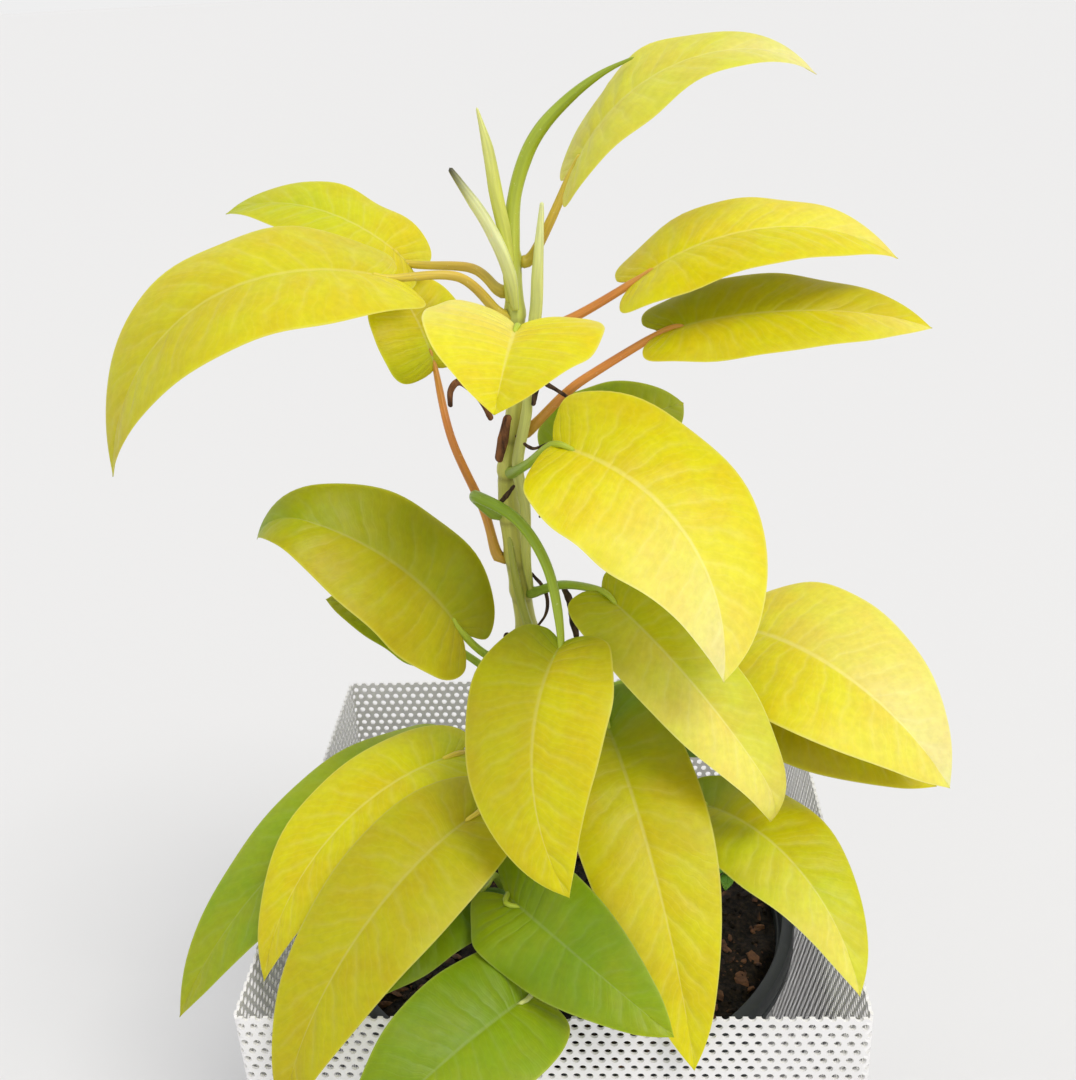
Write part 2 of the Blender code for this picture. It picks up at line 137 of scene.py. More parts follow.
class Path:
    """A smooth line through a few points, in millimetres, that can be asked for any place on it."""

    SPAN_STEPS = 24

    def __init__(self, points: Iterable[Sequence[float]]) -> None:
        """Lay the curve through the points and measure it.

        Args:
            points: the places that the line passes, first to last.
        """
        given = np.array([tuple(p) for p in points], dtype=float)
        padded = np.vstack((2 * given[0] - given[1], given, 2 * given[-1] - given[-2]))
        fine = [catmull(padded, span, step) for span in range(len(given) - 1)
                for step in np.linspace(0, 1, self.SPAN_STEPS, endpoint=False)]
        self.fine = np.array([*fine, given[-1]])
        steps = np.linalg.norm(np.diff(self.fine, axis=0), axis=1)
        self.along = np.concatenate(([0.0], np.cumsum(steps)))
        self.length = float(self.along[-1])
        self.sides = self._carry_sides()
        self.known: dict[float, tuple] = {}

    def _carry_sides(self) -> np.ndarray:
        """Carry one sideways direction along the curve without twisting it."""
        tangents = np.gradient(self.fine, axis=0)
        guide = np.array((0.0, 0.0, 1.0))
        if abs(unit(tangents[0])[2]) > 0.8:
            guide = np.array((1.0, 0.0, 0.0))
        side = unit(np.cross(tangents[0], guide))
        sides = []
        for tangent in tangents:
            tangent = unit(tangent)
            side = unit(side - tangent * np.dot(side, tangent))
            sides.append(side)
        return np.array(sides)

    def at(self, share: float) -> tuple[np.ndarray, np.ndarray, np.ndarray]:
        """Return a place on the path and the two directions across it.

        Args:
            share: how far along, from 0 to 1.

        Returns:
            The place and two unit vectors square to the path.
        """
        share = round(share, 5)
        if share not in self.known:
            self.known[share] = self._find(share)
        return self.known[share]

    def _find(self, share: float) -> tuple[np.ndarray, np.ndarray, np.ndarray]:
        """Work out a place on the path and the two directions across it."""
        target = share * self.length
        place = np.array([np.interp(target, self.along, self.fine[:, k]) for k in range(3)])
        index = min(int(np.searchsorted(self.along, target)), len(self.fine) - 1)
        tangent = unit(self.fine[min(index + 1, len(self.fine) - 1)] - self.fine[max(index - 1, 0)])
        side = unit(self.sides[index] - tangent * np.dot(self.sides[index], tangent))
        return place, side, np.cross(tangent, side)


class TonePaint:
    """Writes colours on the points of a mesh, for the living finishes to read."""

    def __init__(self, shell: bmesh.types.BMesh) -> None:
        """Open the colour layer and the chart of a mesh that is being made."""
        self.layer = shell.verts.layers.float_color.new("tone")
        self.chart = shell.loops.layers.uv.new("UVMap")

    def put(self, vert: bmesh.types.BMVert, colour: Sequence[float]) -> None:
        """Give one point a linear colour."""
        vert[self.layer] = (float(colour[0]), float(colour[1]), float(colour[2]), 1.0)


def wrap_grid(shell: bmesh.types.BMesh, across: int, along: int, place: Place, material: int = 0,
              paint: Optional[TonePaint] = None, tint: Optional[Place] = None) -> list[bmesh.types.BMFace]:
    """Lay a grid of quads over a shape.

    Args:
        shell: the mesh that gets the grid; its first UV layer keeps the grid's own two shares.
        across: how many quads lie side by side.
        along: how many quads follow each other.
        place: gives a point in millimetres from two shares between 0 and 1.
        material: the faces' material slot.
        paint: writes the tint on the points, where the piece has one.
        tint: gives a linear colour from the same two shares.

    Returns:
        The faces of the grid.
    """
    made = bmesh.ops.create_grid(shell, x_segments=across, y_segments=along, size=0.5, calc_uvs=True)
    faces = list({face for vert in made["verts"] for face in vert.link_faces})
    for vert in made["verts"]:
        u, v = vert.co.x + 0.5, vert.co.y + 0.5
        vert.co = Vector(place(u, v)) * MM
        if paint and tint:
            paint.put(vert, tint(u, v))
    for face in faces:
        face.material_index = material
        face.smooth = True
    return faces


def add_tube(shell: bmesh.types.BMesh, path: Path, radius: Callable[[float, float], float],
             around: int, along: int, material: int = 0, paint: Optional[TonePaint] = None,
             tint: Optional[Callable[[float], Sequence[float]]] = None) -> None:
    """Add a closed tube with rounded ends along a path.

    Args:
        shell: the mesh that gets the tube.
        path: the line that it follows.
        radius: gives the radius in millimetres from the shares round and along.
        around: quads round the tube.
        along: quads along the tube.
        material: the faces' material slot.
        paint: writes the tint on the points, where the tube has one.
        tint: gives a linear colour from the share along.
    """
    def place(turn: float, share: float) -> np.ndarray:
        """Return a point of the tube's skin; it draws in to a point at both ends."""
        centre, side, other = path.at(share)
        angle = turn * 2 * math.pi
        size = radius(turn % 1.0, share)
        end = min(share, 1 - share) * path.length
        size *= math.sqrt(max(0.0, 1 - (1 - min(1.0, end / max(size, 0.05))) ** 2))
        return centre + size * (math.cos(angle) * side + math.sin(angle) * other)

    shade = (lambda turn, share: tint(share)) if tint else None
    faces = wrap_grid(shell, around, along, place, material, paint, shade)
    verts = list({vert for face in faces for vert in face.verts})
    bmesh.ops.remove_doubles(shell, verts=verts, dist=0.002 * MM)


def finish_piece(name: str, shell: bmesh.types.BMesh, finishes: Sequence["Finish"],
                 replaces: Sequence[str] = ()) -> bpy.types.Object:
    """Turn a mesh into a finished piece that rides with the frame.

    Args:
        name: the piece's name.
        shell: the mesh, which is used up.
        finishes: one finish for each material slot.
        replaces: solids that this piece stands for.

    Returns:
        The new object.
    """
    bmesh.ops.recalc_face_normals(shell, faces=shell.faces)
    mesh = bpy.data.meshes.new(name)
    shell.to_mesh(mesh)
    shell.free()
    for finish in finishes:
        mesh.materials.append(finish.material())
    piece = bpy.data.objects.new(name, mesh)
    bpy.context.scene.collection.objects.link(piece)
    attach(piece, BODY)
    if replaces:
        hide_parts(*replaces)
    LOG.info("%s: %d faces", name, len(mesh.polygons))
    return piece


# ---------------------------------------------------------------------------------------------------
# Finishes
# ---------------------------------------------------------------------------------------------------
SMOOTH = {"interpolation_type": "SMOOTHSTEP"}
COLOURS = {"data_type": "RGBA"}
SUBTRACT, ABSOLUTE, MULTIPLY, MULTIPLY_ADD, PINGPONG, MAXIMUM, ADD = (
    {"operation": step}
    for step in ("SUBTRACT", "ABSOLUTE", "MULTIPLY", "MULTIPLY_ADD", "PINGPONG", "MAXIMUM", "ADD"))
SHADER = ("Principled BSDF", "BsdfPrincipled")
PAINTED = (("tone", "VertexColor", (), {"layer_name": "tone"}), ("chart", "UVMap", (), {"uv_map": "UVMap"}))
Recipe = tuple[dict[str, tuple], tuple]


@dataclass(frozen=True)
class Finish:
    """A material that is made once and then shared."""

    name: str

    def material(self) -> bpy.types.Material:
        """Return the material, making it the first time."""
        found = bpy.data.materials.get(self.name)
        if found is not None:
            return found
        made = bpy.data.materials.new(self.name)
        made.use_nodes = True
        tree = made.node_tree
        grains, rows = self.recipe()
        if grains:
            add_node(tree, "place", "TexCoord")
        for grain, (size_mm, detail, *stretch) in grains.items():
            add_node(tree, grain + "_place", "Mapping",
                     {"Vector": "place.Object", "Scale": stretch[0] if stretch else (1.0, 1.0, 1.0)})
            add_node(tree, grain, "TexNoise", {"Vector": grain + "_place", "Scale": 1 / (size_mm * MM),
                                               "Detail": detail, "Roughness": 0.55})
        for row in rows:
            add_node(tree, *row)
        return made

    def recipe(self) -> Recipe:
        """Return what gives the finish its look.

        Returns:
            Soft grains in the piece's own space, each with its size in millimetres, its detail and how
            much faster it changes along each axis, and then the rows of nodes that use them.
        """
        raise NotImplementedError


@dataclass(frozen=True)
class LivingLeaf(Finish):
    """Living leaf tissue, a thin waxy blade: gives a satin skin, pale veins and light through the blade."""

    vein_share: float = 0.20
    bloom: float = 0.0
    vein_pairs: float = 15.0

    def recipe(self) -> Recipe:
        """Return the veins, the blotches and the light that soaks in."""
        grains = {"wander": (14.0, 2.0), "blotch": (16.0, 4.0), "film": (3.0, 3.0), "gloss": (5.0, 3.0),
                  "pore": (1.2, 4.0)}
        return grains, (
            *PAINTED,
            ("parts", "SeparateXYZ", ("chart",)),
            ("across", "Math", ("parts.X", 0.5), SUBTRACT),
            ("aside", "Math", ("across",), ABSOLUTE),
            ("drift", "Math", ("wander", 0.9, -0.45), MULTIPLY_ADD),
            ("counted", "Math", ("parts.Y", self.vein_pairs, "drift"), MULTIPLY_ADD),
            ("saw", "Math", ("counted", 0.5), PINGPONG),
            ("fine_saw", "Math", ("counted", 0.125), PINGPONG),
            ("side_vein", "MapRange", ("saw", 0.35, 0.5), SMOOTH),
            ("fine_vein", "MapRange", ("fine_saw", 0.07, 0.125), SMOOTH),
            ("inside", "MapRange", ("aside", 0.50, 0.30), SMOOTH),
            ("midrib", "MapRange", ("aside", 0.024, 0.003, 0.0, 0.55), SMOOTH),
            ("margin", "MapRange", ("aside", 0.480, 0.498, 0.0, 0.45), SMOOTH),
            ("faded", "Math", ("side_vein", "inside"), MULTIPLY),
            ("vein_paleness", "Math", ("faded", self.vein_share), MULTIPLY),
            ("fine_paleness", "Math", ("fine_vein", 0.07), MULTIPLY),
            ("veins", "Math", ("vein_paleness", "fine_paleness"), MAXIMUM),
            ("ribs", "Math", ("veins", "midrib"), MAXIMUM),
            ("paleness", "Math", ("ribs", "margin"), MAXIMUM),
            ("hue", "MapRange", ("blotch", 0.3, 0.7, 0.490, 0.508), SMOOTH),
            ("value", "MapRange", ("film", 0.2, 0.8, 0.84, 0.95), SMOOTH),
            ("mottled", "HueSaturation",
             {"Color": "tone", "Hue": "hue", "Saturation": 1.05, "Value": "value"}),
            ("pale", "HueSaturation", {"Color": "tone", "Saturation": 0.80, "Value": 1.04}),
            ("veined", "Mix", {"Factor": "paleness", "A": "mottled", "B": "pale"}, COLOURS),
            ("bloomed", "Mix", {"Factor": self.bloom, "A": "veined", "B": to_linear("#c9d27c")}, COLOURS),
            ("rough", "MapRange", ("gloss", 0.25, 0.75, 0.40, 0.52), SMOOTH),
            ("pores", "Math", ("pore", 0.25), MULTIPLY),
            ("fine_relief", "Math", ("fine_vein", -0.12, "pores"), MULTIPLY_ADD),
            ("relief", "Math", ("faded", -0.6, "fine_relief"), MULTIPLY_ADD),
            ("bend", "Bump", {"Height": "relief", "Distance": 0.35 * MM, "Strength": 0.55}),
            (*SHADER, {"Base Color": "bloomed", "Roughness": "rough", "Normal": "bend", "IOR": 1.42,
                       "Specular IOR Level": 0.36, "Subsurface Weight": 0.30,
                       "Subsurface Radius": (1.0, 0.85, 0.10), "Subsurface Scale": 1.6 * MM}))


@dataclass(frozen=True)
class JuicyStalk(Finish):
    """Smooth fleshy stalk: gives a gradient along its length, fine lengthwise streaks and a soft shine."""

    def recipe(self) -> Recipe:
        """Return streaks along the stalk over its own tone."""
        return {"speck": (1.1, 2.0)}, (
            *PAINTED,
            ("drawn", "Mapping", {"Vector": "chart", "Scale": (9.0, 2.2, 1.0)}),
            ("streak", "TexNoise", {"Vector": "drawn", "Scale": 1.6, "Detail": 4.0}),
            ("value", "MapRange", ("streak", 0.25, 0.75, 0.86, 1.12), SMOOTH),
            ("streaked", "HueSaturation", {"Color": "tone", "Value": "value", "Saturation": 0.98}),
            ("dots", "MapRange", ("speck", 0.66, 0.78, 0.0, 0.35), SMOOTH),
            ("dotted", "Mix", {"Factor": "dots", "A": "streaked", "B": to_linear("#e9edb8")}, COLOURS),
            ("rough", "MapRange", ("speck", 0.2, 0.8, 0.34, 0.46), SMOOTH),
            ("bend", "Bump", {"Height": "streak", "Distance": 0.25 * MM, "Strength": 0.4}),
            (*SHADER, {"Base Color": "dotted", "Roughness": "rough", "Normal": "bend", "IOR": 1.42,
                       "Subsurface Weight": 0.20, "Subsurface Radius": (1.0, 0.8, 0.2),
                       "Subsurface Scale": 1.5 * MM}))


@dataclass(frozen=True)
class DryFibre(Finish):
    """Dead papery or woody plant skin: gives a matt, lengthwise wrinkled surface in browns."""

    dark: str = "#3a2418"
    light: str = "#8a5a36"
    grain_mm: float = 1.4

    def recipe(self) -> Recipe:
        """Return the wrinkles and the brown blotches."""
        grains = {"coarse": (self.grain_mm * 2, 5.0, (1.0, 1.0, 0.35)), "fine": (self.grain_mm * 0.5, 3.0)}
        return grains, (
            ("share", "MapRange", ("coarse", 0.3, 0.7), SMOOTH),
            ("shade", "Mix",
             {"Factor": "share", "A": to_linear(self.dark), "B": to_linear(self.light)}, COLOURS),
            ("rough", "MapRange", ("fine", 0.2, 0.8, 0.68, 0.90), SMOOTH),
            ("bend", "Bump", {"Height": "coarse", "Distance": 0.5 * MM, "Strength": 0.8}),
            (*SHADER, {"Base Color": "shade", "Roughness": "rough", "Normal": "bend",
                       "Specular IOR Level": 0.3}))


@dataclass(frozen=True)
class PottingEarth(Finish):
    """Damp peat and composted bark: gives a near-black crumbly matt ground with brown flecks."""

    dark: str = "#0f0d0a"
    light: str = "#352a1f"
    fleck: str = "#6b4a32"
    fleck_mm: float = 3.4

    def recipe(self) -> Recipe:
        """Return the crumbs, the fibre flecks and the damp patches."""
        return {"crumb": (2.6, 6.0), "patch": (22.0, 2.0)}, (
            ("share", "MapRange", ("crumb", 0.35, 0.75), SMOOTH),
            ("ground", "Mix",
             {"Factor": "share", "A": to_linear(self.dark), "B": to_linear(self.light)}, COLOURS),
            ("cell", "TexVoronoi", {"Vector": "place.Object", "Scale": 1 / (self.fleck_mm * MM),
                                    "Randomness": 1.0}, {"feature": "F1"}),
            ("chip", "MapRange", ("cell", 0.24, 0.12), SMOOTH),
            ("damp", "MapRange", ("patch", 0.50, 0.66), SMOOTH),
            ("some", "Math", ("chip", "damp"), MULTIPLY),
            ("flecked", "Mix", {"Factor": "some", "A": "ground", "B": to_linear(self.fleck)}, COLOURS),
            ("rough", "MapRange", ("patch", 0.35, 0.65, 0.72, 0.95), SMOOTH),
            ("bend", "Bump", {"Height": "crumb", "Distance": 1.6 * MM, "Strength": 0.9}),
            (*SHADER, {"Base Color": "flecked", "Roughness": "rough", "Normal": "bend",
                       "Specular IOR Level": 0.25}))


@dataclass(frozen=True)
class BarkChip(Finish):
    """Composted pine bark: gives layered brown chips that stand out of the dark mix."""

    dark: str = "#241710"
    light: str = "#6e4a30"

    def recipe(self) -> Recipe:
        """Return the layers and the shade of each chip."""
        return {"patch": (11.0, 1.0), "layer": (2.0, 4.0, (1.0, 1.0, 3.0))}, (
            ("share", "MapRange", ("patch", 0.42, 0.60), SMOOTH),
            ("shade", "Mix",
             {"Factor": "share", "A": to_linear(self.dark), "B": to_linear(self.light)}, COLOURS),
            ("value", "MapRange", ("layer", 0.25, 0.75, 0.55, 1.25), SMOOTH),
            ("lined", "HueSaturation", {"Color": "shade", "Value": "value"}),
            ("rough", "MapRange", ("layer", 0.2, 0.8, 0.75, 0.92), SMOOTH),
            ("bend", "Bump", {"Height": "layer", "Distance": 0.7 * MM, "Strength": 0.8}),
            (*SHADER, {"Base Color": "lined", "Roughness": "rough", "Normal": "bend"}))


@dataclass(frozen=True)
class MouldedPolypropylene(Finish):
    """Injection-moulded black polypropylene: gives a low satin sheen, fine grain and dusty scuffs."""

    body: str = "#272c2e"
    dust: str = "#5b6163"

    def recipe(self) -> Recipe:
        """Return the moulding grain, the dust and the scuffs."""
        return {"grain": (0.9, 2.0), "dusty": (26.0, 5.0), "scuff": (4.0, 5.0, (0.3, 0.3, 2.5))}, (
            ("dust_share", "MapRange", ("dusty", 0.45, 0.75, 0.0, 0.20), SMOOTH),
            ("scuff_share", "MapRange", ("scuff", 0.62, 0.80, 0.0, 0.25), SMOOTH),
            ("share", "Math", ("dust_share", "scuff_share"), ADD),
            ("shade", "Mix",
             {"Factor": "share", "A": to_linear(self.body), "B": to_linear(self.dust)}, COLOURS),
            ("rough", "MapRange", ("dusty", 0.3, 0.7, 0.42, 0.60), SMOOTH),
            ("bend", "Bump", {"Height": "grain", "Distance": 0.10 * MM, "Strength": 0.5}),
            (*SHADER, {"Base Color": "shade", "Roughness": "rough", "Normal": "bend", "IOR": 1.49}))


@dataclass(frozen=True)
class PowderCoatedSteel(Finish):
    """Powder-coated sheet steel: gives an opaque white skin with faint orange peel and a soft gloss."""

    paint: str = "#eae9e9"
    worn: str = "#d2d1cf"

    def recipe(self) -> Recipe:
        """Return the orange peel, the faint handling marks and the slightly uneven gloss."""
        return {"peel": (1.6, 2.0), "marks": (38.0, 5.0)}, (
            ("share", "MapRange", ("marks", 0.50, 0.78, 0.0, 0.55), SMOOTH),
            ("shade", "Mix",
             {"Factor": "share", "A": to_linear(self.paint), "B": to_linear(self.worn)}, COLOURS),
            ("rough", "MapRange", ("marks", 0.3, 0.7, 0.34, 0.46), SMOOTH),
            ("bend", "Bump", {"Height": "peel", "Distance": 0.06 * MM, "Strength": 0.5}),
            (*SHADER, {"Base Color": "shade", "Roughness": "rough", "Normal": "bend", "IOR": 1.50}))


@dataclass(frozen=True)
class StudioPaper(Finish):
    """Matt painted board for the floor of the studio: gives a pale ground that keeps soft shadows."""

    paint: str = "#dadadb"

    def recipe(self) -> Recipe:
        """Return a plain matt paint."""
        return {}, ((*SHADER, {"Base Color": to_linear(self.paint), "Roughness": 0.95,
                               "Specular IOR Level": 0.1}),)


UPPER = LivingLeaf("leaf blade, living, upper skin")
UNDER = LivingLeaf("leaf blade, living, underside", vein_share=0.45, bloom=0.22)
STALK = JuicyStalk("stalk, living, smooth skin")
DRY_SHEATH = DryFibre("sheath, dried, papery")
ROOT_BARK = DryFibre("aerial root, corky skin", dark="#1f1510", light="#5d4634", grain_mm=0.9)
EARTH = PottingEarth("potting mix, damp peat and bark")
BARK = BarkChip("pine bark, composted")
POT_PLASTIC = MouldedPolypropylene("polypropylene, injection moulded, black")
COATED_STEEL = PowderCoatedSteel("sheet steel, powder coated, white")
PAPER = StudioPaper("studio board, matt paint")


# ---------------------------------------------------------------------------------------------------
# Tones painted on the plant
# ---------------------------------------------------------------------------------------------------
@dataclass(frozen=True)
class BladeTone:
    """The colours of one blade from the stalk to the tip, for each half.

    The first half is the one on the minus side of the blade's columns, the second the one on the plus
    side; when it is left out, both halves are alike.  Besides each leaf's own yellow-to-green tone,
    these colours carry painted shade where a half or the stalk end lies in another leaf's shadow, and
    painted highlight at the palest, sunlit ends.
    """

    minus: tuple[str, ...]
    plus: tuple[str, ...] = ()

    def at(self, row: float, column: float) -> np.ndarray:
        """Return the linear colour at a row from 0 to 1 and a column from -1 to 1."""
        first = along_ramp(self.minus, row)
        if not self.plus:
            return first
        share = min(1.0, max(0.0, 0.5 + column * 6.0))
        share = share * share * (3 - 2 * share)
        return first + (along_ramp(self.plus, row) - first) * share


class StalkTone(Enum):
    """The colours of a stalk from the stem to the blade."""

    AMBER = ("#c8a23a", "#d18a3a", "#cf8238", "#d39a3c")
    SUNNY = ("#c6b53a", "#c9a838", "#d0b53c", "#d9c63a")
    GREEN = ("#8fa83a", "#8cab2c", "#a0b82e", "#b4c434")
    PALE = ("#b9c06a", "#d3d79a", "#dfe2b4", "#cdd47a")

    def at(self, share: float) -> np.ndarray:
        """Return the linear colour at a share of the length."""
        return along_ramp(self.value, share)


# ---------------------------------------------------------------------------------------------------
# Stems
# ---------------------------------------------------------------------------------------------------
@dataclass(frozen=True)
class Shoot:
    """A stem that rises out of the potting mix, in millimetres, with its joints where leaves grow."""

    name: str
    path: tuple
    radius_foot: float
    radius_top: float
    buried: float
    joints: tuple
    colours: tuple
    slim: float = 0.84

    AROUND = 28
    ALONG = 220

    def line(self) -> Path:
        """Return the stem's centre line above the mix."""
        return Path(self.path)

    def centre_at(self, height: float) -> tuple[np.ndarray, float]:
        """Return the centre and the radius of the plain stem at a height."""
        line = self.line()
        centre = np.array([np.interp(height, line.fine[:, 2], line.fine[:, k]) for k in range(3)])
        share = float(np.interp(height, line.fine[:, 2], line.along)) / line.length
        return centre, self.radius_foot + (self.radius_top - self.radius_foot) * share

    def radius(self, turn: float, height: float) -> float:
        """Return the radius with the joints' rings and the shallow furrow between them."""
        share = (height - self.path[0][2]) / (self.path[-1][2] - self.path[0][2])
        size = self.radius_foot + (self.radius_top - self.radius_foot) * min(1.0, max(0.0, share))
        size *= self.slim * (1 - 0.45 * min(1.0, max(0.0, (share - 0.90) / 0.10)))
        for joint in self.joints:
            apart = height - joint
            size += 0.10 * self.radius_foot * math.exp(-(apart / 3.5) ** 2)
            size -= 0.05 * self.radius_foot * math.exp(-((apart + 3.2) / 0.9) ** 2)
            size += 0.16 * self.radius_foot * math.exp(-(apart / 7.0) ** 2) * math.cos(
                2 * math.pi * turn - joint) ** 2 * 0.4
        return size * (1 - 0.03 * math.cos(6 * math.pi * turn))

    def build(self) -> bpy.types.Object:
        """Make the stem."""
        foot = (self.path[0][0], self.path[0][1], self.path[0][2] - self.buried)
        middle = (self.path[0][0], self.path[0][1], self.path[0][2] - self.buried * 0.4)
        line = Path((foot, middle, *self.path))
        shell = bmesh.new()
        paint = TonePaint(shell)
        low, high = self.path[0][2], self.path[-1][2]
        scar = along_ramp(("#6a5a2a",) * 2, 0)

        def tint(share: float) -> np.ndarray:
            """Return the colour at a share of the line, with a brown scar under each joint."""
            height = float(line.at(share)[0][2])
            colour = along_ramp(self.colours, (height - low) / (high - low))
            for joint in self.joints:
                ring = 0.5 * math.exp(-((height - joint + 3.2) / 1.0) ** 2)
                colour = colour * (1 - ring) + scar * ring
            return colour

        add_tube(shell, line, lambda turn, share: self.radius(turn, float(line.at(share)[0][2])),
                 self.AROUND, self.ALONG, 0, paint, tint)
        return finish_piece(self.name + "_grown", shell, (STALK,), (self.name,))


# ---------------------------------------------------------------------------------------------------
# Leaves
# ---------------------------------------------------------------------------------------------------
MARGIN_STATIONS = (0.0, 0.12, 0.26, 0.42, 0.62, 0.84, 1.0)
MARGIN_ASIDE = (0.0, 0.32, 0.76, 0.99, 0.88, 0.40, 0.0)


@dataclass(frozen=True)
class Leaf:
    """One leaf, in millimetres and degrees: its blade's midrib, the way it faces, and its stalk."""

    name: str
    base: tuple
    tip: tuple
    face: tuple
    width: float
    bow: float
    shoot: str
    height: float
    heading: float
    tone: BladeTone
    stalk_tone: StalkTone
    via: tuple = ()
    fold: float = 10.0
    lobe: float = 0.08
    belly: float = 0.0
    droop: float = 0.10
    sweep: float = 0.0
    wave: float = 1.5
    hook: float = 0.0
    stalk: float = 1.9
    quilt: float = 0.34

    HALF_ACROSS = 13
    ALONG = 56
    SKIN = 0.34
    VEIN_PAIRS = 15.0

    def margin(self, share: float) -> tuple[float, float]:
        """Return a point of the outline of half a blade, along the midrib and aside, as shares."""
        lobe, belly = self.lobe, self.belly
        along = (0.0, -lobe, -lobe * 0.35, 0.20 + belly, 0.52 + 0.7 * belly, 0.84 + 0.2 * belly, 1.0)
        passed = int(np.searchsorted(MARGIN_STATIONS, share, side="right"))
        index = min(passed - 1, len(MARGIN_STATIONS) - 2)
        local = (share - MARGIN_STATIONS[index]) / (MARGIN_STATIONS[index + 1] - MARGIN_STATIONS[index])
        padded = [np.array((row[0], *row, row[-1])) for row in (along, MARGIN_ASIDE)]
        return float(catmull(padded[0], index, local)), max(float(catmull(padded[1], index, local)), 0.0)

    @cached_property
    def frame_of(self) -> tuple[np.ndarray, np.ndarray, float, tuple]:
        """Return the blade's normal, its side direction, its length and the midrib's control points."""
        base, tip = np.array(self.base, dtype=float), np.array(self.tip, dtype=float)
        along = unit(tip - base)
        hint = direction(*self.face)
        normal = unit(hint - along * np.dot(hint, along))
        side = np.cross(along, normal)
        lift = (normal * self.bow + side * self.sweep) * 4 / 3
        controls = (base, base + (tip - base) * 0.30 + lift, base + (tip - base) * 0.72 + lift, tip)
        return normal, side, float(np.linalg.norm(tip - base)), controls

    def midrib(self, share: float) -> tuple[np.ndarray, np.ndarray]:
        """Return a place of the midrib and its direction there, straight on beyond both ends."""
        _, _, length, (p0, p1, p2, p3) = self.frame_of
        inside = min(max(share, 0.0), 1.0)
        rest = 1 - inside
        place = (rest ** 3 * p0 + 3 * rest ** 2 * inside * p1 + 3 * rest * inside ** 2 * p2
                 + inside ** 3 * p3)
        slope = unit(3 * rest ** 2 * (p1 - p0) + 6 * rest * inside * (p2 - p1)
                     + 3 * inside ** 2 * (p3 - p2))
        return place + slope * (share - inside) * length, slope

    def surface(self, row: float, column: float) -> np.ndarray:
        """Return the middle of the blade at a row (0 stalk, 1 tip) and a column (-1 to 1)."""
        mar_along, mar_aside = self.margin(row)
        out = abs(column)
        share = row ** 2 + (mar_along - row ** 2) * out
        aside = mar_aside * column * self.width / 2
        place, slope = self.midrib(share)
        side = self.frame_of[1]
        side = unit(side - slope * np.dot(side, slope))
        normal = np.cross(side, slope)
        fold = math.radians(self.fold)
        reach = aside / (self.width / 2)
        height = abs(aside) * math.sin(fold) - self.droop * self.width * reach ** 2
        height += self.wave * math.sin(share * 11 + 2.0 * column + self.height) * reach ** 2
        height -= self.hook * max(0.0, (share - 0.75) / 0.25) ** 2
        quilt = math.cos(2 * math.pi * (row * self.VEIN_PAIRS))
        quilt *= math.sin(math.pi * min(1.0, out * 1.1)) ** 0.7
        height += self.quilt * quilt * min(1.0, 3 * row) - 0.6 * math.exp(-(aside / 1.8) ** 2) * (1 - row)
        height += 0.45 * self.wave * math.sin(share * 19 + 3.1 * column + self.heading) * reach ** 3
        return place + side * aside * math.cos(fold) + normal * height

    def sheet(self) -> tuple[np.ndarray, np.ndarray, np.ndarray]:
        """Return the blade's columns, the places of its grid and the normals there."""
        steps = np.linspace(-1, 1, 2 * self.HALF_ACROSS + 1)
        columns = np.sign(steps) * np.abs(steps) ** 1.25
        rows = np.linspace(0, 1, self.ALONG + 1)
        grid = np.array([[self.surface(row, column) for column in columns] for row in rows])
        normals = np.cross(np.gradient(grid, axis=1), np.gradient(grid, axis=0))
        sizes = np.linalg.norm(normals, axis=2, keepdims=True)
        normals = normals / np.maximum(sizes, 1e-9)
        normals[0] = normals[2, self.HALF_ACROSS]
        normals[-1] = normals[-3, self.HALF_ACROSS]
        return columns, grid, normals

    def add_blade(self, shell: bmesh.types.BMesh, paint: TonePaint) -> None:
        """Add the blade: two skins that meet at the margin, with the midrib's ridge underneath."""
        columns, grid, normals = self.sheet()
        across, along = 2 * self.HALF_ACROSS, self.ALONG
        faces = []
        for skin, material in ((1.0, 0), (-1.0, 1)):
            def place(u: float, v: float) -> np.ndarray:
                """Return a point of one skin."""
                i, j = round(v * along), round(u * across)
                edge = min(1.0, (1 - abs(columns[j])) * 9) * min(1.0, (1 - v) * 12) * min(1.0, v * 30)
                depth = self.SKIN * math.sqrt(max(edge, 0.0))
                if skin < 0:
                    ridge = math.exp(-(columns[j] * self.width / 2 / 1.5) ** 2)
                    depth += 1.1 * (1 - v) * ridge * min(1.0, v * 30)
                return grid[i, j] + normals[i, j] * skin * depth

            made = wrap_grid(shell, across, along, place, material, paint,
                             lambda u, v: self.tone.at(v, float(columns[round(u * across)])))
            faces += made
            for face in made:
                for loop in face.loops:
                    chart = loop[paint.chart]
                    chart.uv = (0.5 + 0.5 * columns[round(chart.uv.x * across)], chart.uv.y)
        verts = list({vert for face in faces for vert in face.verts})
        bmesh.ops.remove_doubles(shell, verts=verts, dist=0.004 * MM)
        for edge in shell.edges:
            if len({face.material_index for face in edge.link_faces}) > 1:
                edge.smooth = False

    def add_stalk(self, shell: bmesh.types.BMesh, paint: TonePaint, shoot: Shoot) -> None:
        """Add the stalk, from the stem into the underside of the midrib."""
        centre, radius = shoot.centre_at(self.height)
        outward = direction(self.heading, 0)
        start = centre + outward * (radius * shoot.slim - 1.0)
        place, slope = self.midrib(0.0)
        normal = self.frame_of[0]
        line = Path((start, start + outward * 4.5 + np.array((0, 0, 1.2)), *self.via, place,
                     place + slope * 9 - normal * 0.7))
        size = self.stalk

        def thickness(turn: float, share: float) -> float:
            """Return the stalk's radius: a wide clasping foot, a slim neck and a shallow channel on top."""
            body = float(np.interp(share, (0, 0.05, 0.14, 0.8, 1), (1.7, 1.35, 1.08, 0.82, 0.45))) * size
            return body * (1 - 0.07 * math.cos(2 * math.pi * turn))

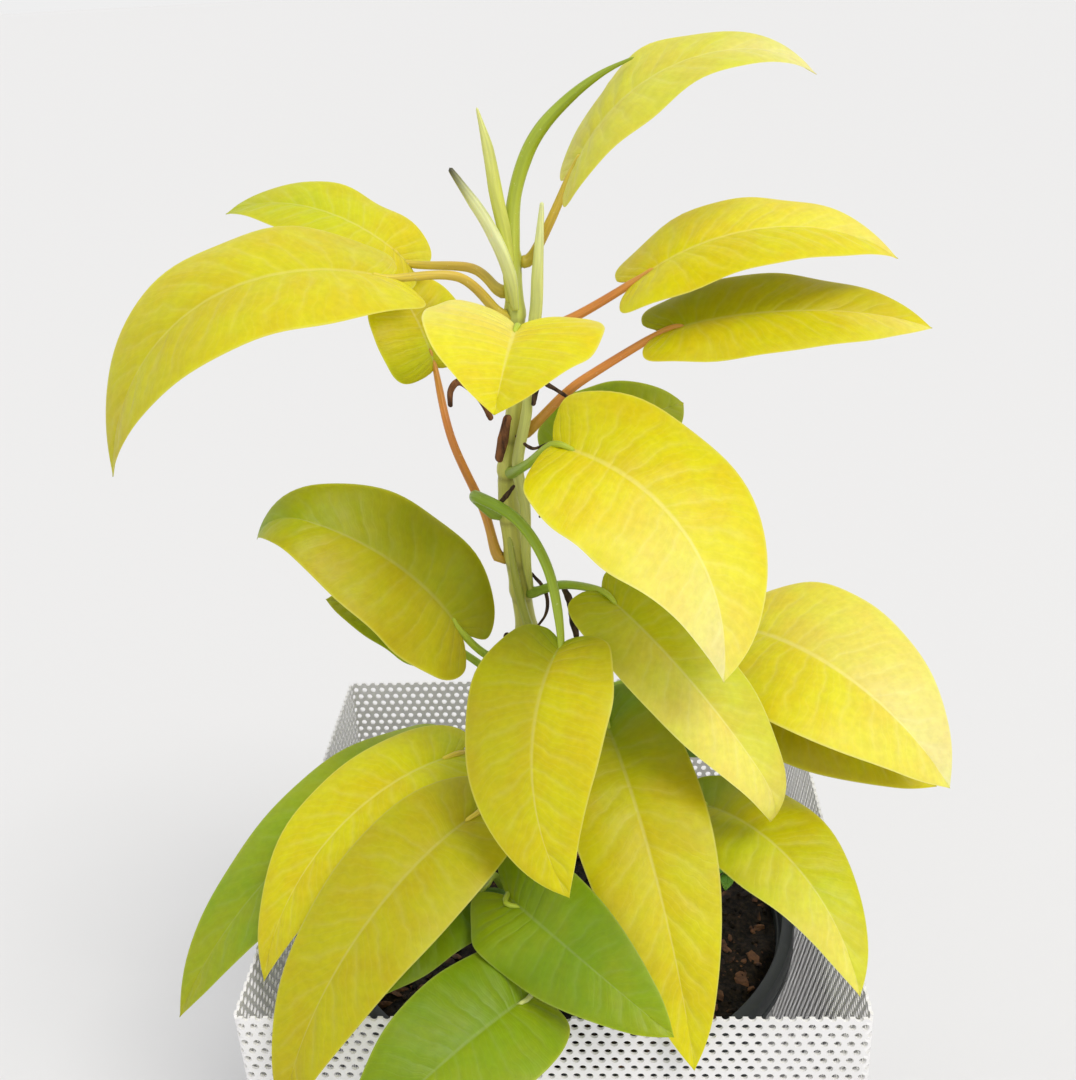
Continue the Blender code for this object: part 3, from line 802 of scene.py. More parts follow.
        add_tube(shell, line, thickness, 14, 48, 2, paint, self.stalk_tone.at)

    def build(self, shoots: dict[str, Shoot]) -> bpy.types.Object:
        """Make the leaf.

        Args:
            shoots: the stems by name.

        Returns:
            The finished leaf.
        """
        shell = bmesh.new()
        paint = TonePaint(shell)
        self.add_blade(shell, paint)
        self.add_stalk(shell, paint, shoots[self.shoot])
        return finish_piece(self.name + "_grown", shell, (UPPER, UNDER, STALK), (self.name,))


# ---------------------------------------------------------------------------------------------------
# Young growth, sheaths and roots
# ---------------------------------------------------------------------------------------------------
class HornShape(Enum):
    """How the cross-section of a tapering piece is shaped."""

    ROLLED = "rolled leaf with the edge of the roll standing up"
    KEELED = "folded sheath with a keel on its back and an open front"
    ROUND = "round, slightly knobbly"


@dataclass(frozen=True)
class Horn:
    """A solid tapering piece along a path, in millimetres: a rolled new leaf, a sheath, a root."""

    name: str
    path: tuple
    radii: tuple
    shape: HornShape
    finish: Finish
    slot: str
    colours: tuple = ("#a9bf3c", "#b9c84e")
    has_solid: bool = True

    AROUND = 32
    ALONG = 90

    def radius(self, turn: float, share: float) -> float:
        """Return the radius at a share of the turn and a share of the length."""
        size = float(np.interp(share, np.linspace(0, 1, len(self.radii)), self.radii))
        if self.shape is HornShape.ROLLED:
            step = turn / 0.9 if turn < 0.9 else (1 - turn) / 0.1
            return size * (0.82 + 0.30 * step * min(1.0, 6 * (1 - share)))
        if self.shape is HornShape.KEELED:
            keel = 0.22 * max(0.0, math.cos(2 * math.pi * (turn - 0.25))) ** 6
            groove = 0.42 * max(0.0, math.cos(2 * math.pi * (turn - 0.75))) ** 4
            return size * (1.0 + keel - groove * math.sin(math.pi * min(1.0, share * 1.1)) ** 0.5)
        angle = 2 * math.pi * turn
        knob = noise.noise(Vector((math.cos(angle), math.sin(angle), share * 9 + size)))
        return size * (1 + 0.22 * knob)

    def build(self) -> bpy.types.Object:
        """Make the piece and paint it from foot to tip."""
        line = Path(self.path)
        shell = bmesh.new()
        paint = TonePaint(shell)
        tint = (lambda share: along_ramp(self.colours, share)) if self.colours else None
        add_tube(shell, line, self.radius, self.AROUND, self.ALONG, 0, paint, tint)
        solids = (self.name,) if self.has_solid else ()
        return finish_piece(self.name + "_grown", shell, (self.finish,), solids)


@dataclass(frozen=True)
class Seedling:
    """A weed seedling in the mix: a thread of a stem with a few small leaves."""

    stem: Horn
    leaflets: tuple

    def build(self) -> bpy.types.Object:
        """Make the stem and its small leaves as one piece."""
        shell = bmesh.new()
        paint = TonePaint(shell)
        line = Path(self.stem.path)
        add_tube(shell, line, self.stem.radius, 10, 16, 2, paint, StalkTone.GREEN.at)
        for leaflet in self.leaflets:
            leaflet.add_blade(shell, paint)
            neck = Path((line.at(0.8)[0], (line.at(0.9)[0] + np.array(leaflet.base)) / 2, leaflet.base))
            add_tube(shell, neck, lambda turn, share: 0.35, 8, 6, 2, paint, StalkTone.GREEN.at)
        return finish_piece(self.stem.name + "_grown", shell, (UPPER, UNDER, STALK),
                            (self.stem.name,))


# ---------------------------------------------------------------------------------------------------
# Potting mix
# ---------------------------------------------------------------------------------------------------
@dataclass(frozen=True)
class PottingMix:
    """The mix in the pot: a lumpy mound with bark chips and crumbs lying in it, in millimetres."""

    top: float = 184.0
    mound: float = 4.0
    foot: float = 4.8
    rim_drop: float = 2.5
    rim_radius: float = 103.2
    foot_radius: float = 79.6
    around: int = 200
    along: int = 120
    chips: int = 620
    crumbs: int = 420
    seed: int = 11

    def height(self, x: float, y: float) -> float:
        """Return the height of the mix at a place."""
        radius = math.hypot(x, y) / 100.0
        lumps = math.sin(x * 0.11 + 1.0) * math.cos(y * 0.13) + 0.6 * math.sin(x * 0.23 - y * 0.19)
        crumbs = 1.5 * noise.fractal(Vector((x, y, 3.0)) / 7.0, 0.6, 2.1, 4)
        fine = 0.7 * noise.noise(Vector((x, y, 9.0)) / 2.2)
        return self.top + self.mound * (1 - radius ** 2) + lumps + crumbs + fine

    def build_ground(self) -> bpy.types.Object:
        """Make the body of the mix."""
        top_share = 0.86

        def place(turn: float, share: float) -> tuple[float, float, float]:
            """Return a point: out over the mound, down the side and back under it."""
            angle = turn * 2 * math.pi
            if share <= top_share:
                radius = self.rim_radius * share / top_share
                x, y = radius * math.cos(angle), radius * math.sin(angle)
                droop = self.rim_drop * max(0.0, share / top_share - 0.94) / 0.06
                return x, y, self.height(x, y) - droop
            down = (share - top_share) / (1 - top_share)
            if down < 0.5:
                radius = self.rim_radius + (self.foot_radius - self.rim_radius) * down * 2
                x, y = self.rim_radius * math.cos(angle), self.rim_radius * math.sin(angle)
                rim = self.height(x, y) - self.rim_drop
                low = rim + (self.foot - rim) * down * 2
                return radius * math.cos(angle), radius * math.sin(angle), low
            radius = self.foot_radius * (2 - 2 * down)
            return radius * math.cos(angle), radius * math.sin(angle), self.foot

        shell = bmesh.new()
        wrap_grid(shell, self.around, self.along, place)
        bmesh.ops.remove_doubles(shell, verts=shell.verts, dist=0.01 * MM)
        return finish_piece("potting_mix_ground", shell, (EARTH,), ("potting_mix",))

    def add_lump(self, shell: bmesh.types.BMesh, dice: random.Random, sizes: Sequence[float],
                 material: int) -> None:
        """Drop one angular lump on the mix.

        Args:
            shell: the mesh that gets the lump.
            dice: the seeded source of its place, turn and shape.
            sizes: its half length, half width and half thickness.
            material: the lump's material slot.
        """
        radius = (self.rim_radius - 4) * math.sqrt(dice.random())
        angle = dice.uniform(0, 2 * math.pi)
        x, y = radius * math.cos(angle), radius * math.sin(angle)
        made = bmesh.ops.create_icosphere(shell, subdivisions=1, radius=1.0)["verts"]
        for vert in made:
            vert.co *= dice.uniform(0.78, 1.18)
        bmesh.ops.scale(shell, verts=made, vec=tuple(size * MM for size in sizes))
        turn = (Matrix.Rotation(dice.uniform(0, 2 * math.pi), 3, "Z")
                @ Matrix.Rotation(dice.uniform(-0.7, 0.7), 3, "X")
                @ Matrix.Rotation(dice.uniform(-0.5, 0.5), 3, "Y"))
        bmesh.ops.rotate(shell, verts=made, matrix=turn)
        lift = self.height(x, y) + sizes[2] * dice.uniform(-0.1, 0.7)
        bmesh.ops.translate(shell, verts=made, vec=Vector((x, y, lift)) * MM)
        for face in {face for vert in made for face in vert.link_faces}:
            face.material_index = material

    def build_litter(self) -> bpy.types.Object:
        """Make the bark chips and the crumbs that lie in the mix."""
        dice = random.Random(self.seed)
        shell = bmesh.new()
        for _ in range(self.chips):
            long = dice.uniform(1.6, 5.2)
            self.add_lump(shell, dice, (long, long * dice.uniform(0.35, 0.75), dice.uniform(0.5, 1.5)), 0)
        for _ in range(self.crumbs):
            size = dice.uniform(0.8, 2.1)
            self.add_lump(shell, dice,
                          (size, size * dice.uniform(0.7, 1.0), size * dice.uniform(0.6, 0.9)), 1)
        return finish_piece("bark_litter", shell, (BARK, EARTH))


# ---------------------------------------------------------------------------------------------------
# Nursery pot
# ---------------------------------------------------------------------------------------------------
@dataclass(frozen=True)
class NurseryPot:
    """The round moulded pot, in millimetres, spun from its profile."""

    profile: tuple = ((0.0, 1.5), (78.0, 1.5), (80.5, 2.2), (82.0, 4.0), (105.0, 181.0), (105.3, 183.0),
                      (110.2, 183.4), (111.0, 184.4), (111.0, 187.4), (110.5, 188.0), (111.0, 188.8),
                      (111.0, 195.0), (110.4, 196.5), (109.0, 197.0), (106.2, 197.0), (105.2, 196.4),
                      (104.7, 195.0), (103.9, 186.6), (103.2, 186.0), (79.4, 4.5), (0.0, 4.5))
    steps: int = 144

    def build(self) -> bpy.types.Object:
        """Spin the profile into the pot."""
        shell = bmesh.new()
        points = [shell.verts.new((radius * MM, 0.0, height * MM)) for radius, height in self.profile]
        edges = [shell.edges.new(pair) for pair in zip(points, points[1:])]
        bmesh.ops.spin(shell, geom=points + edges, cent=(0, 0, 0), axis=(0, 0, 1), angle=2 * math.pi,
                       steps=self.steps, use_merge=True)
        bmesh.ops.remove_doubles(shell, verts=shell.verts, dist=0.01 * MM)
        for face in shell.faces:
            face.smooth = True
        for edge in shell.edges:
            if len(edge.link_faces) == 2 and edge.calc_face_angle(0.0) > math.radians(35):
                edge.smooth = False
        return finish_piece("nursery_pot_moulded", shell, (POT_PLASTIC,), ("nursery_pot",))


# ---------------------------------------------------------------------------------------------------
# Perforated planter
# ---------------------------------------------------------------------------------------------------
@dataclass(frozen=True)
class PerforatedPlanter:
    """The square planter: four perforated walls bent at the corners round a plain floor, in millimetres."""

    side: float = 246.0
    height: float = 246.0
    sheet: float = 1.2
    corner: float = 3.0
    holes_across: int = 49
    hole_radius: float = 1.5
    hole_sides: int = 12

    @property
    def strip(self) -> float:
        """Return the length of sheet from the middle of one corner to the middle of the next."""
        return self.side - 2 * self.corner + math.pi / 2 * self.corner

    def add_cell(self, shell: bmesh.types.BMesh, pitch: float) -> None:
        """Add one six-sided tile of sheet with a round hole in it."""
        outer = bmesh.ops.create_circle(shell, segments=6, radius=pitch / math.sqrt(3))["verts"]
        inner = bmesh.ops.create_circle(shell, segments=self.hole_sides, radius=self.hole_radius)["verts"]
        turn = max(outer, key=lambda vert: vert.co.y)
        spare = math.atan2(turn.co.y, turn.co.x) - math.pi / 2
        bmesh.ops.rotate(shell, verts=outer, matrix=Matrix.Rotation(-spare, 3, "Z"))
        edges = {edge for vert in [*outer, *inner] for edge in vert.link_edges}
        bmesh.ops.bridge_loops(shell, edges=list(edges))

    def spread(self, shell: bmesh.types.BMesh, times: int, step: Vector) -> None:
        """Double everything a number of times, each time twice as far along a step."""
        for power in range(times):
            geometry = [*shell.verts, *shell.edges, *shell.faces]
            copy = bmesh.ops.duplicate(shell, geom=geometry)["geom"]
            verts = [item for item in copy if isinstance(item, bmesh.types.BMVert)]
            bmesh.ops.translate(shell, verts=verts, vec=step * 2 ** power)

    def flat_wall(self) -> bmesh.types.BMesh:
        """Return one wall as a flat perforated sheet: x along, y up, with its outer face down."""
        pitch = self.strip / self.holes_across
        rise = pitch * math.sqrt(3) / 2
        shell = bmesh.new()
        self.add_cell(shell, pitch)
        copy = bmesh.ops.duplicate(shell, geom=[*shell.verts, *shell.edges, *shell.faces])["geom"]
        verts = [item for item in copy if isinstance(item, bmesh.types.BMVert)]
        bmesh.ops.translate(shell, verts=verts, vec=(pitch / 2, -rise, 0))
        self.spread(shell, 6, Vector((pitch, 0, 0)))
        self.spread(shell, 5, Vector((0, -2 * rise, 0)))
        bmesh.ops.translate(shell, verts=shell.verts, vec=(-self.strip / 2 - pitch * 4, self.height, 0))
        bmesh.ops.remove_doubles(shell, verts=shell.verts, dist=0.02)
        half = self.strip / 2
        for place, away in (((half, 0, 0), (1, 0, 0)), ((-half, 0, 0), (-1, 0, 0)),
                            ((0, self.height, 0), (0, 1, 0)), ((0, 0, 0), (0, -1, 0))):
            geometry = [*shell.verts, *shell.edges, *shell.faces]
            bmesh.ops.bisect_plane(shell, geom=geometry, dist=0.001, plane_co=place, plane_no=away,
                                   clear_outer=True)
        return shell

    def build_wall(self, name: str, quarter: int, replaces: Sequence[str] = ()) -> bpy.types.Object:
        """Make one wall.

        Args:
            name: the wall's name.
            quarter: how many quarter turns it stands from the front.
            replaces: solids that it stands for.

        Returns:
            The finished wall.
        """
        shell = self.flat_wall()
        bmesh.ops.recalc_face_normals(shell, faces=shell.faces)
        bmesh.ops.solidify(shell, geom=list(shell.faces), thickness=self.sheet)
        low = min(vert.co.z for vert in shell.verts)
        reach = self.side / 2 - self.corner
        for vert in shell.verts:
            along, up, depth = vert.co.x, vert.co.y, vert.co.z - low
            if abs(along) <= reach:
                x, y = along, -self.side / 2 + depth
            else:
                angle = (abs(along) - reach) / self.corner
                x = math.copysign(reach + (self.corner - depth) * math.sin(angle), along)
                y = -reach - (self.corner - depth) * math.cos(angle)
            vert.co = Vector((x, y, up)) * MM
        bmesh.ops.rotate(shell, verts=shell.verts, matrix=Matrix.Rotation(quarter * math.pi / 2, 3, "Z"))
        return finish_piece(name, shell, (COATED_STEEL,), replaces)

    def build_floor(self) -> bpy.types.Object:
        """Make the floor plate between the walls."""
        shell = bmesh.new()
        bmesh.ops.create_cube(shell, size=1.0)
        inner = self.side - 2 * self.sheet
        bmesh.ops.scale(shell, verts=shell.verts, vec=(inner * MM, inner * MM, self.sheet * MM))
        bmesh.ops.translate(shell, verts=shell.verts, vec=(0, 0, self.sheet / 2 * MM))
        upright = [edge for edge in shell.edges if abs(edge.verts[0].co.z - edge.verts[1].co.z) > 0.5 * MM]
        bmesh.ops.bevel(shell, geom=upright, offset=(self.corner - self.sheet) * MM, offset_type="OFFSET",
                        segments=6, profile=0.5, affect="EDGES", material=-1)
        return finish_piece("planter_floor", shell, (COATED_STEEL,))

    def build(self) -> None:
        """Make the four walls and the floor."""
        for quarter, name in enumerate(("front", "right", "back", "left")):
            self.build_wall(f"planter_wall_{name}", quarter, ("planter",) if quarter == 0 else ())
        self.build_floor()


# ---------------------------------------------------------------------------------------------------
# Studio
# ---------------------------------------------------------------------------------------------------
@dataclass(frozen=True)
class Studio:
    """A pale floor, soft lamps and the camera; places in metres, angles in degrees."""

    camera_place: tuple = (0.031, -0.470, 0.610)
    camera_down: float = 25.0
    camera_left: float = 4.1
    camera_roll: float = 3.1
    lens: float = 41.0
    floor_side: float = 90.0
    key_from: tuple = (-48.0, 56.0)
    key_spread: float = 24.0
    key_strength: float = 1.36
    side_from: tuple = (1.25, -1.0, 1.25)
    side_size: float = 0.7
    side_watts: float = 1.6
    air_strength: float = 0.863

    def build_floor(self) -> None:
        """Make the level floor, wide enough to fill the view."""
        shell = bmesh.new()
        bmesh.ops.create_grid(shell, x_segments=4, y_segments=4, size=self.floor_side / 2)
        bmesh.ops.translate(shell, verts=shell.verts, vec=(0, 0, -0.4 * MM))
        mesh = bpy.data.meshes.new("studio_floor")
        shell.to_mesh(mesh)
        shell.free()
        mesh.materials.append(PAPER.material())
        floor = bpy.data.objects.new("studio_floor", mesh)
        bpy.context.scene.collection.objects.link(floor)

    def add_lamp(self, name: str, place: Sequence[float], target: Sequence[float], size: float,
                 power: float, colour: str) -> None:
        """Add one soft square lamp.

        Args:
            name: the lamp's name.
            place: where it hangs.
            target: the point that it faces.
            size: its side.
            power: its power in watts.
            colour: its colour.
        """
        lamp = bpy.data.lights.new(name, "AREA")
        lamp.size = size
        lamp.energy = power
        lamp.color = to_linear(colour)[:3]
        body = bpy.data.objects.new(name, lamp)
        body.location = place
        body.rotation_euler = (Vector(target) - Vector(place)).to_track_quat("-Z", "Y").to_euler()
        bpy.context.scene.collection.objects.link(body)

    def light(self) -> None:
        """Hang the lamps and set the ambient light."""
        middle = (0.0, 0.0, 0.32)
        self.add_lamp("side_lamp", self.side_from, middle, self.side_size, self.side_watts, "#fffaf2")
        key = bpy.data.lights.new("key_lamp", "SUN")
        key.energy = self.key_strength
        key.angle = math.radians(self.key_spread)
        key.color = to_linear("#fffcf6")[:3]
        body = bpy.data.objects.new("key_lamp", key)
        body.rotation_euler = (-Vector(direction(*self.key_from))).to_track_quat("-Z", "Y").to_euler()
        bpy.context.scene.collection.objects.link(body)
        world = bpy.data.worlds.new("studio_air")
        world.use_nodes = True
        add_node(world.node_tree, "Background", "Background",
                 {"Color": to_linear("#ffffff"), "Strength": self.air_strength})
        bpy.context.scene.world = world
        bpy.context.scene.view_settings.view_transform = "Standard"

    def hang_camera(self) -> None:
        """Add the camera."""
        down, left, roll = (math.radians(v) for v in (self.camera_down, self.camera_left, self.camera_roll))
        ahead = Vector((-math.sin(left) * math.cos(down), math.cos(left) * math.cos(down), -math.sin(down)))
        level = Vector((math.cos(left), math.sin(left), 0.0))
        below = ahead.cross(level)
        right = level * math.cos(roll) + below * math.sin(roll)
        under = below * math.cos(roll) - level * math.sin(roll)
        camera = bpy.data.cameras.new("camera")
        camera.lens = self.lens
        camera.sensor_width = 36.0
        camera.sensor_fit = "AUTO"
        body = bpy.data.objects.new("camera", camera)
        turned = Matrix((right, -under, -ahead)).transposed().to_4x4()
        body.matrix_world = Matrix.Translation(self.camera_place) @ turned
        bpy.context.scene.collection.objects.link(body)
        bpy.context.scene.camera = body

    def build(self) -> None:
        """Set up the studio."""
        self.build_floor()
        self.light()
        self.hang_camera()


# ---------------------------------------------------------------------------------------------------
# This plant
# ---------------------------------------------------------------------------------------------------
SHOOTS = (
    Shoot("stem_main",
          ((0, 0, 186), (-4, 0, 260), (-9, -2, 341), (-14, -3, 413), (-8, -1, 458), (-6, 0, 528)),
          6.5, 3.8, 46.0, (286, 304, 322, 348, 368, 384, 404, 424, 440, 466, 488, 508),
          ("#8f8a42", "#a5a148", "#b7b551", "#c3c25c", "#c8ca63", "#c0cc58")),
    Shoot("stem_right", ((24, -20, 185), (22, -22, 250), (20, -22, 318)), 4.6, 3.2, 36.0,
          (214, 238, 256, 306), ("#8c8d3c", "#a3a844", "#b3ba4a")),
    Shoot("stem_left", ((-24, -14, 185), (-25, -16, 240), (-25, -15, 288)), 4.6, 3.2, 36.0,
          (220, 254, 268, 282), ("#8c8d3c", "#a3a844", "#b3ba4a")),
)


# The leaf colours of this plant, from the palest sunlit yellow to the deepest shaded green.
# The next colour is a painted highlight: the pale glare at the brightest ends of the sunlit blades.
HIGHLIGHT_PEARL = "#ece4a0"
CREAM = "#ebe070"
LEMON = "#e6da44"
STRAW = "#d8d450"
SUN = "#dcd02c"
GOLD = "#d2c814"
BRASS = "#c6be10"
MUSTARD = "#b8b008"
KHAKI = "#b8bc30"
OLIVE = "#a4a80c"
LIME = "#98ac10"
GRASS = "#88a00c"
LEAF_GREEN = "#789408"
# The next two deep greens are painted shade where a blade lies in another leaf's shadow, and in part the
# older leaves' own dark green.
FERN = "#60840c"
MOSS = "#4c7814"
CITRON = "#c8ca30"


def tone(*minus: str) -> BladeTone:
    """Return a tone that is the same on both halves."""
    return BladeTone(minus)


LEAVES = (
    Leaf("leaf_01", (17, -2, 540), (106, -8, 574), (-112, 68), 48, 22, "stem_main", 508, 0,
         tone(CREAM, STRAW, STRAW, STRAW, HIGHLIGHT_PEARL), StalkTone.SUNNY,
         ((8, -2, 522),), hook=4),
    Leaf("leaf_02", (40, -5, 500), (139, 2, 503), (-92, 70), 50, 18, "stem_main", 478, 5,
         BladeTone((GOLD, SUN, LEMON, CREAM), (GOLD, SUN, SUN, LEMON)),
         StalkTone.AMBER, ((18, -2, 487),), belly=0.12),
    # leaf_03: the olive and mustard of the minus half are painted shadow cast by leaf_02 above it; the plus
    # half is the lit one.
    Leaf("leaf_03", (50, -12, 482), (151, -10, 479), (-92, 60), 42, 10, "stem_main", 440, -20,
         BladeTone((OLIVE, OLIVE, MUSTARD, SUN), (BRASS, GOLD, GOLD, CREAM)),
         StalkTone.AMBER, ((12, -10, 458), (24, -12, 467)), belly=0.08),
    Leaf("leaf_04", (-50, -20, 508), (-153, -60, 448), (-110, 62), 68, 35, "stem_main", 488, 215,
         BladeTone((LEMON, SUN, GOLD, BRASS, BRASS),
                   (SUN, GOLD, GOLD, BRASS, BRASS)),
         StalkTone.SUNNY, ((-26, -14, 506),), sweep=4, belly=0.06, lobe=0.04),
    Leaf("leaf_05", (-50, 22, 504), (-126, 36, 524), (-95, 70), 44, 14, "stem_main", 496, 160,
         tone(STRAW, SUN, CITRON, KHAKI), StalkTone.SUNNY, ((-24, 10, 504),)),
    Leaf("leaf_06", (-3, -42, 494), (-8, -94, 479), (-78, 60), 68, 5, "stem_main", 466, 265,
         BladeTone((LEMON, LEMON, SUN, GOLD), (CREAM, CREAM, LEMON, SUN)),
         StalkTone.GREEN, ((-6, -22, 482),), fold=22, lobe=0.14),
    Leaf("leaf_07", (-43, 20, 461), (-68, 40, 500), (-60, 50), 44, 8, "stem_main", 384, 175,
         tone(MUSTARD, CITRON, SUN, LEMON), StalkTone.AMBER, ((-25, 2, 404), (-36, 2, 436)),
         lobe=0.04),
    Leaf("leaf_08", (8, 20, 416), (61, 44, 434), (-80, 40), 50, 10, "stem_main", 404, 60,
         tone(LEAF_GREEN, GRASS, LIME, KHAKI), StalkTone.GREEN, ((2, 12, 412),)),
    Leaf("leaf_09", (8, -45, 450), (67, -96, 378), (-62, 38), 74, 10, "stem_main", 424, -70,
         BladeTone((GOLD, GOLD, SUN, LEMON, CREAM),
                   (SUN, SUN, LEMON, CREAM, HIGHLIGHT_PEARL)),
         StalkTone.GREEN, ((-3, -28, 436),), sweep=-17, lobe=0.03),
    # leaf_10: the olive plus half is painted shade, the half of the blade that lies in shadow; the mustard
    # half is the lit one.
    Leaf("leaf_10", (-34, -30, 363), (-117, -34, 422), (-112, 58), 60, 14, "stem_main", 332, 215,
         BladeTone((MUSTARD, MUSTARD, MUSTARD, MUSTARD, LIME),
                   (OLIVE, OLIVE, OLIVE, OLIVE, GRASS)),
         StalkTone.GREEN, ((-26, -22, 348),), hook=22, sweep=7, lobe=0.12),
    Leaf("leaf_11", (-46, 6, 338), (-98, 4, 362), (-100, 60), 36, 6, "stem_main", 312, 175,
         tone(GRASS, GRASS, OLIVE), StalkTone.GREEN, ((-28, 4, 324),)),
    Leaf("leaf_12", (8, -54, 371), (10, -114, 297), (-108, 26), 60, 12, "stem_main", 406, 215,
         BladeTone((GRASS, BRASS, GOLD, GOLD, SUN),
                   (GRASS, OLIVE, MUSTARD, BRASS, SUN)),
         StalkTone.GREEN, ((-26, -16, 418), (-8, -32, 414), (4, -45, 398)), fold=12, sweep=9, lobe=0.05,
         stalk=2.3),
    # leaf_13: the deep greens at the stalk end are painted shadow over the base of the blade; the gold
    # towards the tip is the lit part.
    Leaf("leaf_13", (23, -35, 326), (55, -133, 230), (-84, 35), 56, 15, "stem_right", 306, -75,
         BladeTone((MOSS, GRASS, BRASS, GOLD, GOLD),
                   (FERN, OLIVE, BRASS, GOLD, SUN)),
         StalkTone.GREEN, ((22, -32, 320),), sweep=-3),
    Leaf("leaf_14", (-16, -91, 278), (47, -143, 258), (-95, 45), 48, 6, "stem_right", 238, -110,
         tone(LIME, GRASS, LEAF_GREEN, LIME), StalkTone.GREEN, ((6, -50, 274),),
         lobe=0.16, belly=-0.10, wave=2.5),
    Leaf("leaf_16", (24, -36, 384), (97, -80, 300), (-60, 35), 44, 12, "stem_main", 368, -35,
         BladeTone((KHAKI, KHAKI, CITRON, STRAW, CREAM),
                   (LIME, KHAKI, STRAW, CREAM, CREAM)),
         StalkTone.GREEN, ((8, -18, 378),), hook=14, lobe=0.04),
    Leaf("leaf_17", (-6, -116, 252), (-74, -168, 222), (-104, 50), 56, 12, "stem_right", 214, -120,
         BladeTone((KHAKI, GRASS, GRASS, GRASS), (LIME, LEAF_GREEN, LEAF_GREEN, LEAF_GREEN)),
         StalkTone.PALE, ((4, -70, 238),), fold=16, lobe=0.03, wave=2.0),
    Leaf("leaf_18", (-39, -34, 306), (-115, -104, 246), (-120, 42), 48, 21, "stem_left", 282, 200,
         tone(KHAKI, CITRON, GOLD, GOLD, GOLD), StalkTone.SUNNY, ((-34, -24, 298),),
         sweep=8),
    Leaf("leaf_19", (-27, -68, 302), (-101, -146, 218), (-112, 42), 54, 21, "stem_left", 268, 255,
         tone(LEAF_GREEN, MUSTARD, MUSTARD, MUSTARD, MUSTARD), StalkTone.SUNNY, ((-26, -48, 292),),
         sweep=6),
    Leaf("leaf_20", (-55, -6, 288), (-160, -90, 212), (-130, 50), 58, 22, "stem_left", 254, 165,
         tone(LIME, LIME, LIME, GRASS, OLIVE), StalkTone.GREEN, ((-38, -8, 278),)),
    Leaf("leaf_21", (-28, -70, 264), (-86, -116, 240), (-112, 50), 36, 9, "stem_left", 220, 265,
         tone(MOSS, FERN, GRASS, LIME), StalkTone.GREEN, ((-27, -46, 250),)),
    Leaf("leaf_24", (60, -40, 284), (119, -114, 248), (-70, 50), 48, 16, "stem_right", 256, -20,
         BladeTone((LEAF_GREEN, LIME, BRASS, CITRON, STRAW),
                   (GRASS, KHAKI, CITRON, STRAW, CREAM)),
         StalkTone.GREEN, ((38, -32, 272),), sweep=-9),
    Leaf("leaf_25", (82, -2, 347), (159, -66, 309), (-70, 55), 80, 20, "stem_main", 322, 0,
         BladeTone((BRASS, LEMON, CREAM, HIGHLIGHT_PEARL), (BRASS, GOLD, LEMON, CREAM)),
         StalkTone.GREEN, ((30, 0, 338),)),
    # leaf_26: lies under leaf_25; its lime, olive and mustard are painted shadow cast by leaf_25, and the
    # brass and gold of the plus half are the strip that the shadow misses.
    Leaf("leaf_26", (74, -2, 326), (160, -46, 295), (-90, 42), 50, 8, "stem_main", 304, 5,
         BladeTone((LIME, OLIVE, OLIVE, MUSTARD), (OLIVE, MUSTARD, BRASS, GOLD)),
         StalkTone.GREEN, ((34, 2, 318),)),
    # leaf_27: its moss and fern green is painted shade, as the blade lies in shadow between leaf_16 and
    # leaf_13.
    Leaf("leaf_27", (44, 16, 314), (74, 30, 262), (-80, 40), 44, 8, "stem_main", 286, 25,
         tone(MOSS, MOSS, FERN, FERN), StalkTone.GREEN, ((22, 10, 302),)),
)

